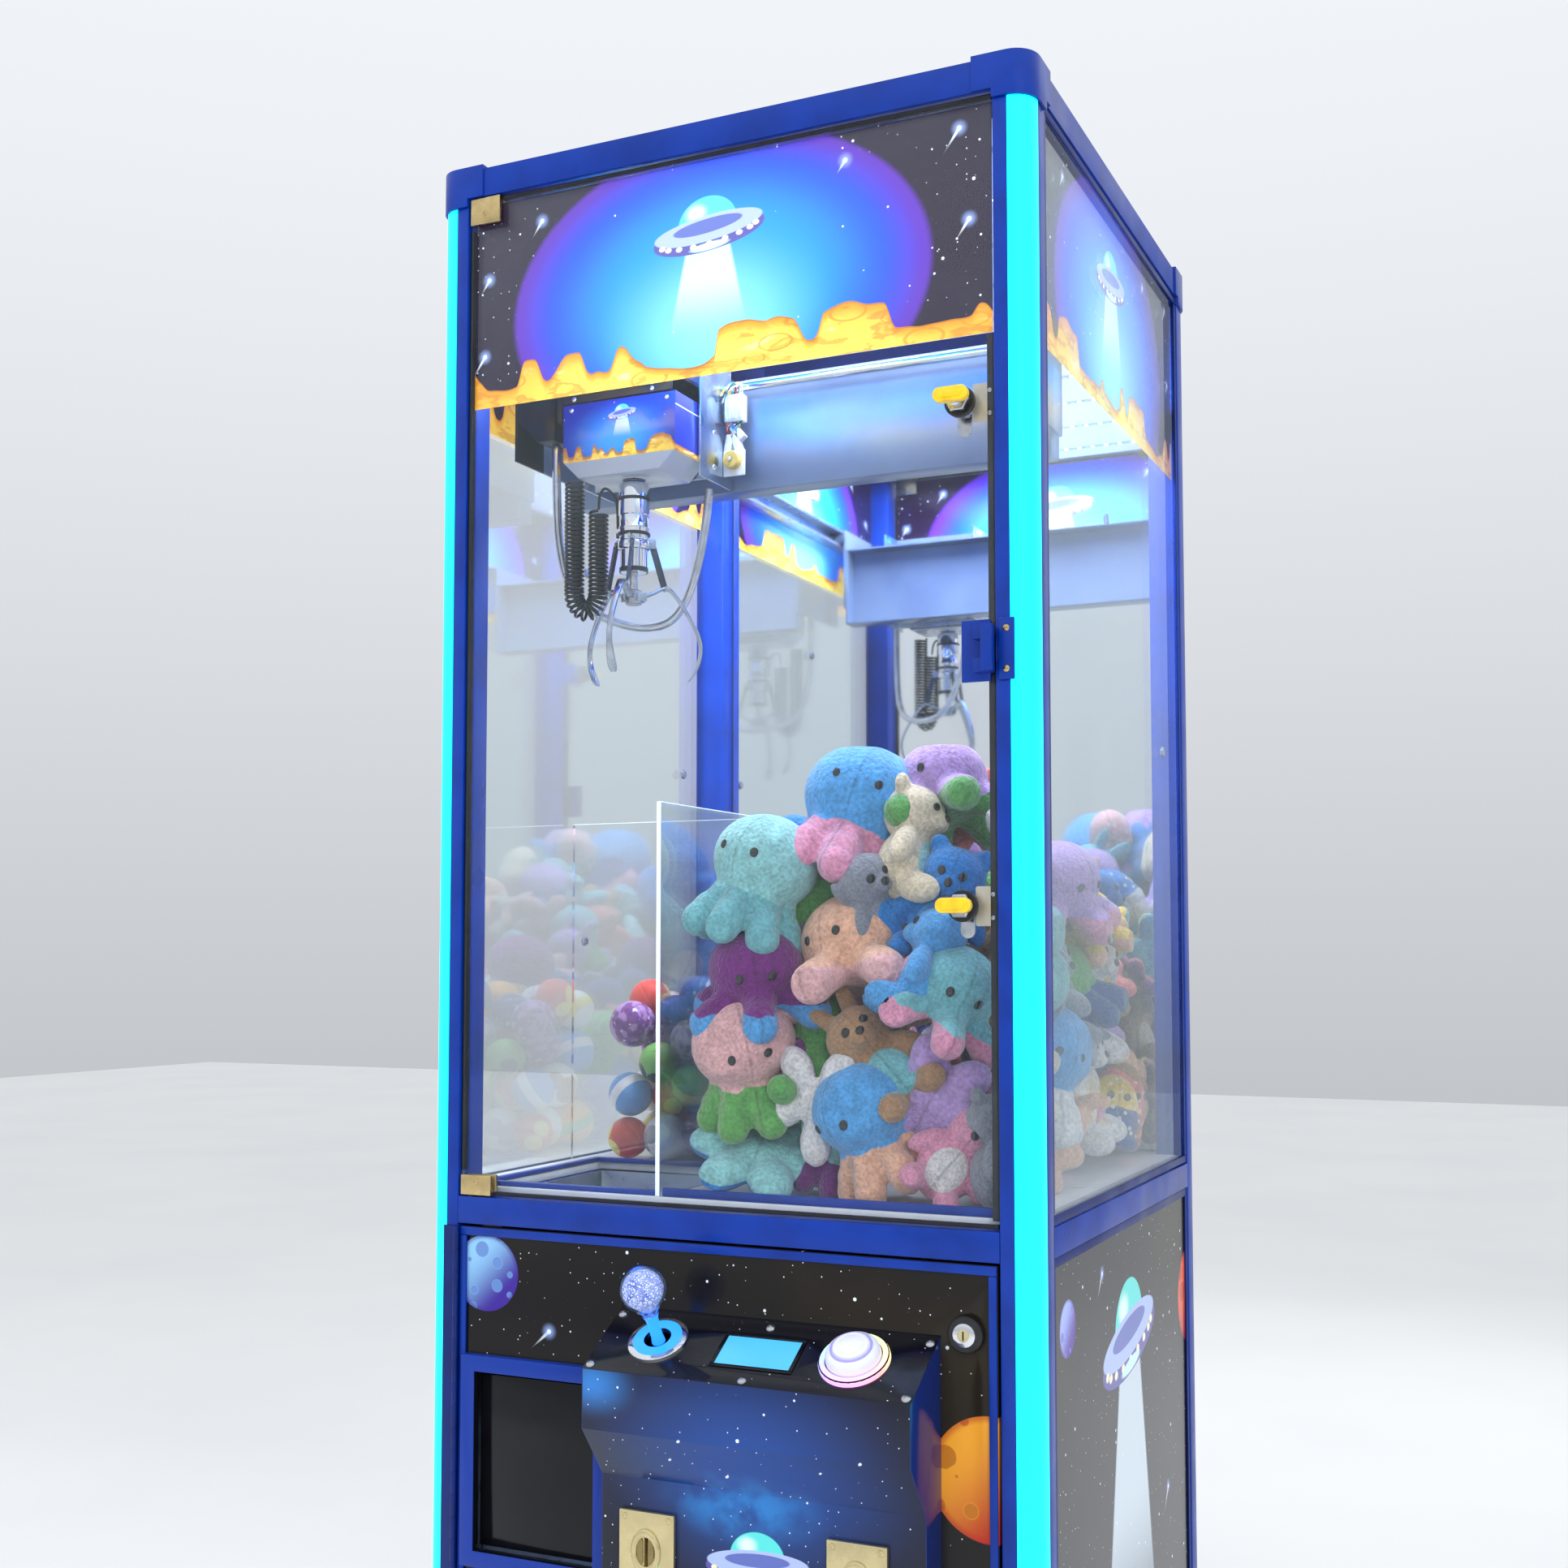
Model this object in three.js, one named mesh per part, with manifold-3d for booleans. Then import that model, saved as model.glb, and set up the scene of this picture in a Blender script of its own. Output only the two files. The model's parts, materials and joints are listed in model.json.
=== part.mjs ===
// Claw crane machine: an aluminium-framed cabinet with a glass door over a prize chamber, a travelling
// three-fingered claw, a prize chute with its outlet, and a service door that carries the control console.
// Millimetres, +Z up. While it is built, x = 0 is the middle, y = 0 the front face and z = 0 the floor;
// the whole group is then moved so that the origin is below the middle of the overall box.
import * as THREE from 'three';
import { mergeVertices } from 'three/addons/utils/BufferGeometryUtils.js';
import Module from 'manifold-3d';

const wasm = await Module();
wasm.setup();

// ---------------------------------------------------------------- driving dimensions
const HALF_WIDTH = 370;
const DEPTH = 728;
const GAP = 0.3;                  // kept between touching pieces
const POST_X = 42;                // corner post, seen from the front
const POST_Y = 50;                // corner post, seen from the side
const CORNER_RADIUS = 26;         // rounded outer corner, which is also the light strip's radius
const FOOT_HEIGHT = 35;
const BASE_TOP = 95;
const MID_BOTTOM = 782;           // rail between the service door and the glass door
const MID_TOP = 813;
const POST_TOP = 1986;
const RAIL_BOTTOM = 1996;
const RAIL_TOP = 2030;
const CAP_TOP = 2034;
const CAP_PROUD = 3;
const CAP_LENGTH = 64;
const RING_WIDTH = 60;            // how far the base and middle frames reach inwards
const TOP_RING_WIDTH = 80;
const DECK_THICKNESS = 10;
const DECK_TOP = MID_TOP + GAP + DECK_THICKNESS;
const DECK_FRONT = 22;            // behind the swing of the glass door's hinge side

// glass door
const DOOR_HALF_WIDTH = 325;
const GLASS_FRONT = 4;
const GLASS_BACK = 10;
const GLASS_BOTTOM = 820;
const GLASS_TOP = 1988;
const PIVOT = { x: -314, y: 7 };
const LOCK_X = 291;
const UPPER_LOCK_Z = 1668;
const LOWER_LOCK_Z = 1142;
const LOCK_RADIUS = 9;

// prize chute and outlet
const HOLE = { x0: -310, x1: -80, y0: 60, y1: 293 };
const GUARD_HEIGHT = 440;
const OUTLET = { x0: -298, x1: -140, z0: 416, z1: 617 };

// service door and console
const SERVICE_LEFT = -324;
const SERVICE_RIGHT = 325;
const SERVICE_BOTTOM = 98;
const SERVICE_TOP = 779;
const SERVICE_PIVOT = { x: -327.2, y: -4 };
const SERVICE_LOCK = { x: 292, z: 709 };
const CONSOLE = { x0: -108, x1: 264, rearZ: MID_BOTTOM - 80, frontY: -85, frontZ: MID_BOTTOM - 127 };
const CONSOLE_WALL = 2.5;
const TOP_REAR_Y = -4;
const CONSOLE_TILT = Math.atan2(CONSOLE.rearZ - CONSOLE.frontZ, TOP_REAR_Y - CONSOLE.frontY);
const SLOPE_MIDDLE = -43;         // middle of the sloping top, measured down the slope
const JOYSTICK_X = -39.5;
const BUTTON_X = 187;
const BUTTON_RADIUS = 29.5;
const DISPLAY = { x0: 36.5, x1: 122.5, y0: -67, y1: -24 };
const COIN_FACE_Y = -42;
const COIN_MECHS = { coin_mech_left: -50, coin_mech_right: 191 };
const COIN_TOP = 502;

// crane
const CLAW = { x: -177, y: 138 };
const BEAM = { y0: 240, y1: 276, z0: 1671, z1: 1804 };
const ROD = { y: 226, z: 1799, radius: 6.5 };
const RAIL = { x0: 330, x1: 355, z0: 1811, z1: 1843 };
const WHEEL_Z = 1827;
const COVER = { x0: -255, x1: -99, y0: 99, y1: 177, z0: 1670, z1: 1762 };
const FINGER_ANGLES = [-80, 40, 160];
const HUB_Z = MID_BOTTOM + 745;   // height of the finger pivots
const LINK_TOP_Z = MID_BOTTOM + 812;

// ---------------------------------------------------------------- materials
function material(color, roughness, metalness, extra = {}) {
  return new THREE.MeshStandardMaterial({ color, roughness, metalness, ...extra });
}

const clear = { transparent: true, opacity: 0.3 };
const blue = material(0x0a3fa8, 0.4, 0.5);
const cyan = material(0x00ffff, 0.5, 0, { emissive: 0x00e0e0 });
const glass = material(0xdff2f6, 0.05, 0, clear);
const acrylic = material(0xeaf6ff, 0.08, 0, clear);
const mirror = material(0xe6ecf0, 0.03, 1);
const art = material(0x141021, 0.35, 0);
const steel = material(0x9fb4c8, 0.35, 0.9);
const chrome = material(0xe8edf2, 0.08, 1);
const brass = material(0xb89a4a, 0.3, 1);
const gold = material(0xc9b268, 0.35, 0.9);
const black = material(0x101114, 0.45, 0.1);
const rubber = material(0x0c0c0e, 0.8, 0);
const white = material(0xf2f5f8, 0.4, 0);
const amber = material(0xf5c400, 0.2, 0);
const plush = material(0x6fb7d8, 0.95, 0);
const conduit = material(0xb8c0c8, 0.3, 0.8);

// ---------------------------------------------------------------- shape helpers
function block(x0, x1, y0, y1, z0, z1) {
  const box = new THREE.BoxGeometry(x1 - x0, y1 - y0, z1 - z0);
  return box.translate((x0 + x1) / 2, (y0 + y1) / 2, (z0 + z1) / 2);
}

function outline(points) {
  return new THREE.Shape(points.map(([u, v]) => new THREE.Vector2(u, v)));
}

function flatExtrude(shape, depth, curveSegments = 8) {
  return new THREE.ExtrudeGeometry(shape, { depth, bevelEnabled: false, curveSegments });
}

// a prism whose outline is drawn in (x, y)
function prismZ(points, z0, z1) {
  return flatExtrude(outline(points), z1 - z0).translate(0, 0, z0);
}

// a prism whose outline is drawn in (x, z)
function prismY(points, y0, y1) {
  return flatExtrude(outline(points), y1 - y0).rotateX(Math.PI / 2).translate(0, y1, 0);
}

// a prism whose outline is drawn in (y, z)
function prismX(points, x0, x1) {
  const turned = flatExtrude(outline(points), x1 - x0).rotateZ(Math.PI / 2).rotateY(Math.PI / 2);
  return turned.translate(x0, 0, 0);
}

function rodZ(x, y, radius, z0, z1, sides = 24) {
  const rod = new THREE.CylinderGeometry(radius, radius, z1 - z0, sides).rotateX(Math.PI / 2);
  return rod.translate(x, y, (z0 + z1) / 2);
}

function rodY(x, z, radius, y0, y1, sides = 24) {
  return new THREE.CylinderGeometry(radius, radius, y1 - y0, sides).translate(x, (y0 + y1) / 2, z);
}

function rodX(y, z, radius, x0, x1, sides = 24) {
  const rod = new THREE.CylinderGeometry(radius, radius, x1 - x0, sides).rotateZ(Math.PI / 2);
  return rod.translate((x0 + x1) / 2, y, z);
}

// a turned shape about the Z axis, from a profile of (radius, z) points that starts and ends on the axis
function turned(profile, sides = 32) {
  const points = profile.map(([radius, z]) => new THREE.Vector2(radius, z));
  return new THREE.LatheGeometry(points, sides).rotateX(Math.PI / 2);
}

function tube(points, radius, steps, sides = 10) {
  const path = new THREE.CatmullRomCurve3(points.map((point) => new THREE.Vector3(...point)));
  const section = new THREE.Shape();
  section.absarc(0, 0, radius, 0, Math.PI * 2);
  const options = { steps, extrudePath: path, bevelEnabled: false, curveSegments: sides };
  return new THREE.ExtrudeGeometry(section, options);
}

function solidOf(geometry) {
  const bare = geometry.clone();
  bare.deleteAttribute('normal');
  bare.deleteAttribute('uv');
  const merged = mergeVertices(bare, 1e-4);
  const vertProperties = new Float32Array(merged.attributes.position.array);
  const triVerts = new Uint32Array(merged.index.array);
  return new wasm.Manifold(new wasm.Mesh({ numProp: 3, vertProperties, triVerts }));
}

function geometryOf(solid) {
  const mesh = solid.getMesh();
  const geometry = new THREE.BufferGeometry();
  geometry.setAttribute('position', new THREE.BufferAttribute(new Float32Array(mesh.vertProperties), 3));
  geometry.setIndex(new THREE.BufferAttribute(new Uint32Array(mesh.triVerts), 1));
  geometry.computeVertexNormals();
  return geometry;
}

function join(...shapes) {
  return geometryOf(shapes.map(solidOf).reduce((whole, next) => whole.add(next)));
}

function cut(base, ...tools) {
  return geometryOf(tools.map(solidOf).reduce((whole, tool) => whole.subtract(tool), solidOf(base)));
}

function common(first, second) {
  return geometryOf(solidOf(first).intersect(solidOf(second)));
}

// ---------------------------------------------------------------- the scene graph
const machine = new THREE.Group();

function add(name, geometry, surface, parent = machine) {
  const mesh = new THREE.Mesh(geometry, surface);
  mesh.name = name;
  parent.add(mesh);
  return mesh;
}

// the corners, as sign of x, whether it is at the back, and a name
const CORNERS = [
  { name: 'front_left', side: -1, back: false },
  { name: 'front_right', side: 1, back: false },
  { name: 'rear_left', side: -1, back: true },
  { name: 'rear_right', side: 1, back: true },
];

// turns (distance in from the side, distance in from the front or back) into (x, y)
function cornerPoint({ side, back }, inX, inY) {
  return [side * (HALF_WIDTH - inX), back ? DEPTH - inY : inY];
}

function cornerBlock(corner, inX0, inX1, inY0, inY1, z0, z1) {
  const [xa, ya] = cornerPoint(corner, inX0, inY0);
  const [xb, yb] = cornerPoint(corner, inX1, inY1);
  return block(Math.min(xa, xb), Math.max(xa, xb), Math.min(ya, yb), Math.max(ya, yb), z0, z1);
}

// the rounded outer corner, as points along its arc
function cornerArc(corner, radius, proud = 0, steps = 8) {
  const points = [];
  for (let i = 0; i <= steps; i += 1) {
    const angle = (Math.PI / 2) * (i / steps);
    const inX = radius - proud - radius * Math.cos(angle);
    const inY = radius - proud - radius * Math.sin(angle);
    points.push(cornerPoint(corner, inX, inY));
  }
  return points;
}

// a rectangular ring that leaves room for the four corner posts
function frameRing(width, z0, z1) {
  const ring = cut(
    block(-HALF_WIDTH, HALF_WIDTH, 0, DEPTH, z0, z1),
    block(width - HALF_WIDTH, HALF_WIDTH - width, width, DEPTH - width, z0 - 1, z1 + 1),
  );
  const postRoom = CORNERS.map((corner) => (
    cornerBlock(corner, -1, POST_X + GAP, -1, POST_Y + GAP, z0 - 1, z1 + 1)
  ));
  return cut(ring, ...postRoom);
}

// the channel that makes a frame's rails hollow
function railChannel(outer, inner, z0, z1) {
  return cut(
    block(outer - HALF_WIDTH, HALF_WIDTH - outer, outer, DEPTH - outer, z0, z1),
    block(inner - HALF_WIDTH, HALF_WIDTH - inner, inner, DEPTH - inner, z0 - 1, z1 + 1),
  );
}

// ---------------------------------------------------------------- feet, base and posts
const footProfile = [
  [0, 0], [24, 0], [24, 5], [14, 13], [8, 14], [8, FOOT_HEIGHT - GAP], [0, FOOT_HEIGHT - GAP],
];
for (const corner of CORNERS) {
  const [x, y] = cornerPoint(corner, POST_X / 2 + 6, POST_Y / 2 + 4);
  add(`leveling_foot_${corner.name}`, turned(footProfile, 24).translate(x, y, 0), rubber);
}

const baseTray = block(
  RING_WIDTH - HALF_WIDTH - 1, HALF_WIDTH - RING_WIDTH + 1, RING_WIDTH - 1, DEPTH - RING_WIDTH + 1,
  FOOT_HEIGHT, FOOT_HEIGHT + 3,
);
const baseRing = cut(
  frameRing(RING_WIDTH, FOOT_HEIGHT, BASE_TOP),
  railChannel(6, RING_WIDTH - 6, FOOT_HEIGHT - 1, BASE_TOP - 5),
);
add('base_frame', join(baseRing, baseTray), blue);

function strikeTab(lockZ) {
  const left = LOCK_X + LOCK_RADIUS + 1;
  const right = HALF_WIDTH - POST_X + 1;
  return block(left, right, GLASS_BACK + 2, GLASS_BACK + 4.5, lockZ - 20, lockZ + 20);
}

for (const corner of CORNERS) {
  let profile;
  if (corner.back) {
    const inner = [[POST_X, 0], [POST_X, POST_Y], [0, POST_Y]].map(([u, v]) => cornerPoint(corner, u, v));
    profile = [...cornerArc(corner, CORNER_RADIUS), ...inner];
  } else {
    const notch = CORNER_RADIUS + GAP;
    const edges = [[0, POST_Y], [POST_X, POST_Y], [POST_X, 0], [notch, 0], [notch, notch], [0, notch]];
    profile = edges.map(([u, v]) => cornerPoint(corner, u, v));
    const strip = [...cornerArc(corner, CORNER_RADIUS), cornerPoint(corner, CORNER_RADIUS, CORNER_RADIUS)];
    add(`light_strip_${corner.name}`, prismZ(strip, FOOT_HEIGHT, POST_TOP), cyan);
  }
  const hollows = corner.back
    ? [cornerBlock(corner, 10, POST_X - 4, 10, POST_Y - 4, FOOT_HEIGHT - 1, POST_TOP + 1)]
    : [
      cornerBlock(corner, CORNER_RADIUS + 3, POST_X - 3, 3, POST_Y - 3, FOOT_HEIGHT - 1, POST_TOP + 1),
      cornerBlock(corner, 3, POST_X - 3, CORNER_RADIUS + 3, POST_Y - 3, FOOT_HEIGHT - 1, POST_TOP + 1),
    ];
  let post = cut(prismZ(profile, FOOT_HEIGHT, POST_TOP), ...hollows);
  if (corner.name === 'front_right') {
    post = join(post, strikeTab(UPPER_LOCK_Z), strikeTab(LOWER_LOCK_Z));
  }
  add(`corner_post_${corner.name}`, post, blue);
}

// ---------------------------------------------------------------- middle frame and deck
const PIN_RADIUS = 4;
const PIN_LENGTH = 8;
const pinBore = (z0, z1) => rodZ(PIVOT.x, PIVOT.y, PIN_RADIUS + GAP, z0, z1, 16);
const keeper = block(SERVICE_LOCK.x - 12, SERVICE_LOCK.x + 12, 30, 33, MID_BOTTOM - 42, MID_BOTTOM + 1);
const middleRing = join(frameRing(RING_WIDTH, MID_BOTTOM, MID_TOP), keeper);
const rearSheetRoom = block(-327, 327, DEPTH - 8.5, DEPTH + 1, MID_BOTTOM - 1, MID_TOP + 1);
add('mid_frame', cut(middleRing, pinBore(MID_TOP - PIN_LENGTH - 1, MID_TOP + 1), rearSheetRoom), blue);

const deckBlank = block(-358, 358, DECK_FRONT, 704, MID_TOP + GAP, DECK_TOP);
const postNotches = CORNERS.map((corner) => (
  cornerBlock(corner, 0, POST_X + GAP, 0, POST_Y + GAP, MID_TOP, DECK_TOP + 1)
));
const chuteHole = block(HOLE.x0, HOLE.x1, HOLE.y0, HOLE.y1, MID_TOP - 1, DECK_TOP + 1);
add('play_deck', cut(deckBlank, ...postNotches, chuteHole), white);

const guardOutline = [
  [-79, DECK_FRONT], [-74, DECK_FRONT], [-74, 300], [-357, 300], [-357, 295], [-79, 295],
];
add('chute_guard', prismZ(guardOutline, DECK_TOP + GAP, DECK_TOP + GAP + GUARD_HEIGHT), acrylic);

// the duct below the hole: a shaft whose floor slopes down to the outlet
const DUCT = { x0: -309, x1: -82, y0: 61, y1: 292, front: 402, rear: 479, top: 812, lipY: 26, lipTop: 650 };
const DUCT_WALL = 2.5;
function ductOutline(wall, lipY, top) {
  return [
    [lipY, DUCT.front + wall], [DUCT.y1 - wall, DUCT.rear + wall], [DUCT.y1 - wall, top],
    [DUCT.y0 + wall, top], [DUCT.y0 + wall, DUCT.lipTop - wall], [lipY, DUCT.lipTop - wall],
  ];
}
const ductBody = prismX(ductOutline(0, DUCT.lipY, DUCT.top), DUCT.x0, DUCT.x1);
const ductSpace = prismX(
  ductOutline(DUCT_WALL, DUCT.lipY - 6, DUCT.top + 1),
  DUCT.x0 + DUCT_WALL,
  DUCT.x1 - DUCT_WALL,
);
add('prize_chute', cut(ductBody, ductSpace), steel);

// ---------------------------------------------------------------- top frame, roof and ceiling light
const topOpening = block(
  TOP_RING_WIDTH - HALF_WIDTH, HALF_WIDTH - TOP_RING_WIDTH, TOP_RING_WIDTH, DEPTH - TOP_RING_WIDTH,
  RAIL_BOTTOM - 1, RAIL_TOP + 1,
);
const topRails = cut(block(-HALF_WIDTH, HALF_WIDTH, 0, DEPTH, RAIL_BOTTOM, RAIL_TOP), topOpening);

function capProfile(corner, reachX, reachY) {
  const inner = [[reachX, -CAP_PROUD], [reachX, reachY], [-CAP_PROUD, reachY]];
  const arc = cornerArc(corner, CORNER_RADIUS + CAP_PROUD, CAP_PROUD);
  return [...arc, ...inner.map(([u, v]) => cornerPoint(corner, u, v))];
}

const cornerRoom = CORNERS.map((corner) => (
  cornerBlock(corner, -1, CAP_LENGTH - 2, -1, CAP_LENGTH - 2, RAIL_BOTTOM - 1, RAIL_TOP + 1)
));
const caps = CORNERS.flatMap((corner) => [
  prismZ(capProfile(corner, CAP_LENGTH, CAP_LENGTH), RAIL_BOTTOM, CAP_TOP),
  prismZ(capProfile(corner, POST_X, POST_Y), POST_TOP + GAP, RAIL_BOTTOM + 1),
]);
const topFrame = join(cut(topRails, ...cornerRoom), ...caps);
const topChannel = railChannel(14, TOP_RING_WIDTH - 6, RAIL_BOTTOM - 20, RAIL_TOP - 5);
add('top_frame', cut(topFrame, topChannel, pinBore(RAIL_BOTTOM - 1, RAIL_BOTTOM + PIN_LENGTH + 1)), blue);

const roofEdge = TOP_RING_WIDTH + 0.5;
const roofSheet = block(
  roofEdge - HALF_WIDTH, HALF_WIDTH - roofEdge, roofEdge, DEPTH - roofEdge, 2026, 2028,
);
add('roof_panel', roofSheet, blue);
add('ceiling_light', block(-322, 322, 56, 672, 1984, RAIL_BOTTOM - 4), white);

// ---------------------------------------------------------------- walls
for (const [name, side] of [['left', -1], ['right', 1]]) {
  const span = (inner, outer) => (side < 0 ? [-outer, -inner] : [inner, outer]);
  add(`${name}_glass`, block(...span(361, 366), 52, 676, 815, 1994), glass);
  add(`${name}_side_panel`, block(...span(364, 366), 52, 676, BASE_TOP + 2, MID_BOTTOM - 2), art);
  const railBar = cut(
    block(...span(RAIL.x0, RAIL.x1), 51, 677, RAIL.z0, RAIL.z1),
    block(...span(RAIL.x0 - 1, RAIL.x1 - 4), 50, 678, RAIL.z0 + 5, RAIL.z1 - 5),
  );
  add(`${name}_rail`, railBar, steel);
}
add('rear_mirror', block(-324, 324, 706, 710, 826, 1994), mirror);

const INLET = { x0: 252, x1: 300, z0: 150, z1: 178 };
const vents = Array.from({ length: 5 }, (_, i) => block(-120, 120, 720, 727, 600 + i * 24, 608 + i * 24));
const rearSheet = block(-326, 326, 721, 722.5, BASE_TOP + 2, 1994);
const inletRoom = block(INLET.x0, INLET.x1, 720, 727, INLET.z0, INLET.z1);
add('rear_panel', cut(rearSheet, ...vents, inletRoom), steel);

const inletBody = join(
  block(INLET.x0 + GAP, INLET.x1 - GAP, 700, 725.5, INLET.z0 + GAP, INLET.z1 - GAP),
  block(INLET.x0 - 8, INLET.x1 + 8, 725.3, 728, INLET.z0 - 4, INLET.z1 + 4),
);
const inletSocket = block(INLET.x0 + 10, INLET.x1 - 10, 712, 729, INLET.z0 + 5, INLET.z1 - 5);
add('power_inlet', cut(inletBody, inletSocket), black);

// ---------------------------------------------------------------- glass door
const lockHole = (z) => rodY(LOCK_X, z, LOCK_RADIUS + GAP, GLASS_FRONT - 1, GLASS_BACK + 1);
const pane = block(-DOOR_HALF_WIDTH, DOOR_HALF_WIDTH, GLASS_FRONT, GLASS_BACK, GLASS_BOTTOM, GLASS_TOP);
add('door_glass', cut(pane, lockHole(UPPER_LOCK_Z), lockHole(LOWER_LOCK_Z)), glass);

// each clamp grips the pane between two plates and turns on a pin in the frame
function pivotClamp({ body, slot, pin }) {
  const plates = cut(
    block(-324, -283, -1, 15, ...body),
    block(-330, -280, GLASS_FRONT - GAP, GLASS_BACK + GAP, ...slot),
  );
  return join(plates, rodZ(PIVOT.x, PIVOT.y, PIN_RADIUS, ...pin, 16));
}
const TOP_CLAMP = {
  body: [GLASS_TOP - 26, RAIL_BOTTOM - 2],
  slot: [GLASS_TOP - 27, GLASS_TOP + 1],
  pin: [RAIL_BOTTOM - 2.5, RAIL_BOTTOM + PIN_LENGTH],
};
const BOTTOM_CLAMP = {
  body: [MID_TOP + 2, GLASS_BOTTOM + 18],
  slot: [GLASS_BOTTOM - 1, GLASS_BOTTOM + 19],
  pin: [MID_TOP - PIN_LENGTH, MID_TOP + 2.5],
};
add('top_clamp', pivotClamp(TOP_CLAMP), brass);
add('bottom_clamp', pivotClamp(BOTTOM_CLAMP), brass);

const PULL = { z0: 1373, z1: 1437 };
const pullShape = join(
  block(291, 322, 0.5, GLASS_FRONT - GAP, PULL.z0, PULL.z1),
  block(308, 326, -14, 1, PULL.z1 - 22, PULL.z1 - 8),
  block(308, 326, -14, 1, PULL.z0 + 8, PULL.z0 + 22),
  block(318, 330, -20, -10, PULL.z0 + 8, PULL.z1 - 8),
);
add('door_pull', pullShape, blue);
add('catch_bracket', block(332, 349, -3.3, -GAP, PULL.z0, PULL.z1), blue);

// cam lock: wing key head in front of the glass, barrel through it and a tongue behind it
function camLock(z) {
  return join(
    rodY(LOCK_X, z, LOCK_RADIUS, -12, 15.5),
    rodY(LOCK_X, z, 5, -24, -11, 16),
    block(LOCK_X - 19, LOCK_X + 19, -34, -23, z - 8, z + 8),
    block(LOCK_X - 8, LOCK_X + 8, 15.2, 18.2, z - 33, z + 9),
  );
}
add('upper_lock', camLock(UPPER_LOCK_Z), amber);
add('lower_lock', camLock(LOWER_LOCK_Z), amber);

// ---------------------------------------------------------------- service door
const hingeLeaf = block(-346, SERVICE_PIVOT.x, -1.9, -GAP, SERVICE_BOTTOM, SERVICE_TOP);
const knuckle = rodZ(SERVICE_PIVOT.x, SERVICE_PIVOT.y, 3.2, SERVICE_BOTTOM, SERVICE_TOP, 12);
add('service_hinge', join(hingeLeaf, knuckle), steel);

const doorPan = cut(
  block(SERVICE_LEFT, SERVICE_RIGHT, 2, 22, SERVICE_BOTTOM, SERVICE_TOP),
  block(SERVICE_LEFT + 18, SERVICE_RIGHT - 18, 5, 23, SERVICE_BOTTOM + 18, SERVICE_TOP - 18),
);
const outletFrame = block(OUTLET.x0 - 18, OUTLET.x1 + 18, -8, 3, OUTLET.z0 - 18, OUTLET.z1 + 18);
const outletHole = block(OUTLET.x0, OUTLET.x1, -9, 23, OUTLET.z0, OUTLET.z1);
const serviceLockHole = rodY(SERVICE_LOCK.x, SERVICE_LOCK.z, 10 + GAP, 0, 23);
add('service_door', cut(join(doorPan, outletFrame), outletHole, serviceLockHole), art);

const serviceLock = join(
  rodY(SERVICE_LOCK.x, SERVICE_LOCK.z, 10, -6, 30),
  block(SERVICE_LOCK.x - 50, SERVICE_LOCK.x + 8, 35, 38, SERVICE_LOCK.z - 8, SERVICE_LOCK.z + 8),
  rodY(SERVICE_LOCK.x, SERVICE_LOCK.z, 6, 29, 36, 16),
);
add('service_lock', serviceLock, chrome);

// the flap hangs from its top edge and swings into the duct
const FLAP_AXIS = { y: 8, z: OUTLET.z1 - 6 };
const flap = join(
  block(OUTLET.x0 + 1.5, OUTLET.x1 - 1.5, 5, 8, OUTLET.z0 + 4, FLAP_AXIS.z),
  rodX(FLAP_AXIS.y, FLAP_AXIS.z, 3, OUTLET.x0 + 1.5, OUTLET.x1 - 1.5, 12),
);
add('prize_flap', flap, black);

// ---------------------------------------------------------------- console
// side outline of the console in (y, z), drawn a distance inside its outer faces
function consoleOutline(inset, back) {
  const slope = inset / Math.cos(CONSOLE_TILT);
  const lower = inset * 1.2;
  return [
    [back, CONSOLE.rearZ + 3 - slope],
    [TOP_REAR_Y, CONSOLE.rearZ - slope],
    [CONSOLE.frontY + inset, CONSOLE.frontZ - slope + inset * Math.tan(CONSOLE_TILT)],
    [CONSOLE.frontY + inset, MID_BOTTOM - 190 + inset / 2],
    [COIN_FACE_Y + inset, MID_BOTTOM - 247 + lower / 2],
    [COIN_FACE_Y + inset, MID_BOTTOM - 440 + inset],
    [back, MID_BOTTOM - 440 + inset],
  ];
}

const consoleTop = new THREE.Group();
consoleTop.position.set(0, TOP_REAR_Y, CONSOLE.rearZ);
consoleTop.rotation.x = CONSOLE_TILT;
machine.add(consoleTop);

// moves a shape drawn on the console's sloping top to its place in the cabinet
function onSlope(geometry) {
  consoleTop.updateMatrix();
  return geometry.clone().applyMatrix4(consoleTop.matrix);
}

const shell = cut(
  prismX(consoleOutline(0, 1.7), CONSOLE.x0, CONSOLE.x1),
  prismX(consoleOutline(CONSOLE_WALL, 3), CONSOLE.x0 + CONSOLE_WALL, CONSOLE.x1 - CONSOLE_WALL),
);
const stickCollar = rodZ(JOYSTICK_X, SLOPE_MIDDLE, 32.5, -1, 4, 32);
const buttonBezel = rodZ(BUTTON_X, SLOPE_MIDDLE, 37, -1, 6, 32);
const stickHole = rodZ(JOYSTICK_X, SLOPE_MIDDLE, 16, -8, 8);
const buttonHole = rodZ(BUTTON_X, SLOPE_MIDDLE, BUTTON_RADIUS + 0.8, -8, 8, 32);
const displayHole = block(DISPLAY.x0, DISPLAY.x1, DISPLAY.y0, DISPLAY.y1, -8, 8);
const coinHoles = Object.values(COIN_MECHS).map((x) => (
  block(x - 26, x + 26, COIN_FACE_Y - 2, COIN_FACE_Y + 4, COIN_TOP - 118, COIN_TOP - 9)
));
const trimmed = join(shell, onSlope(stickCollar), onSlope(buttonBezel));
const slopeHoles = [stickHole, buttonHole, displayHole].map(onSlope);
add('console_housing', cut(trimmed, ...slopeHoles, ...coinHoles), blue);

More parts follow.
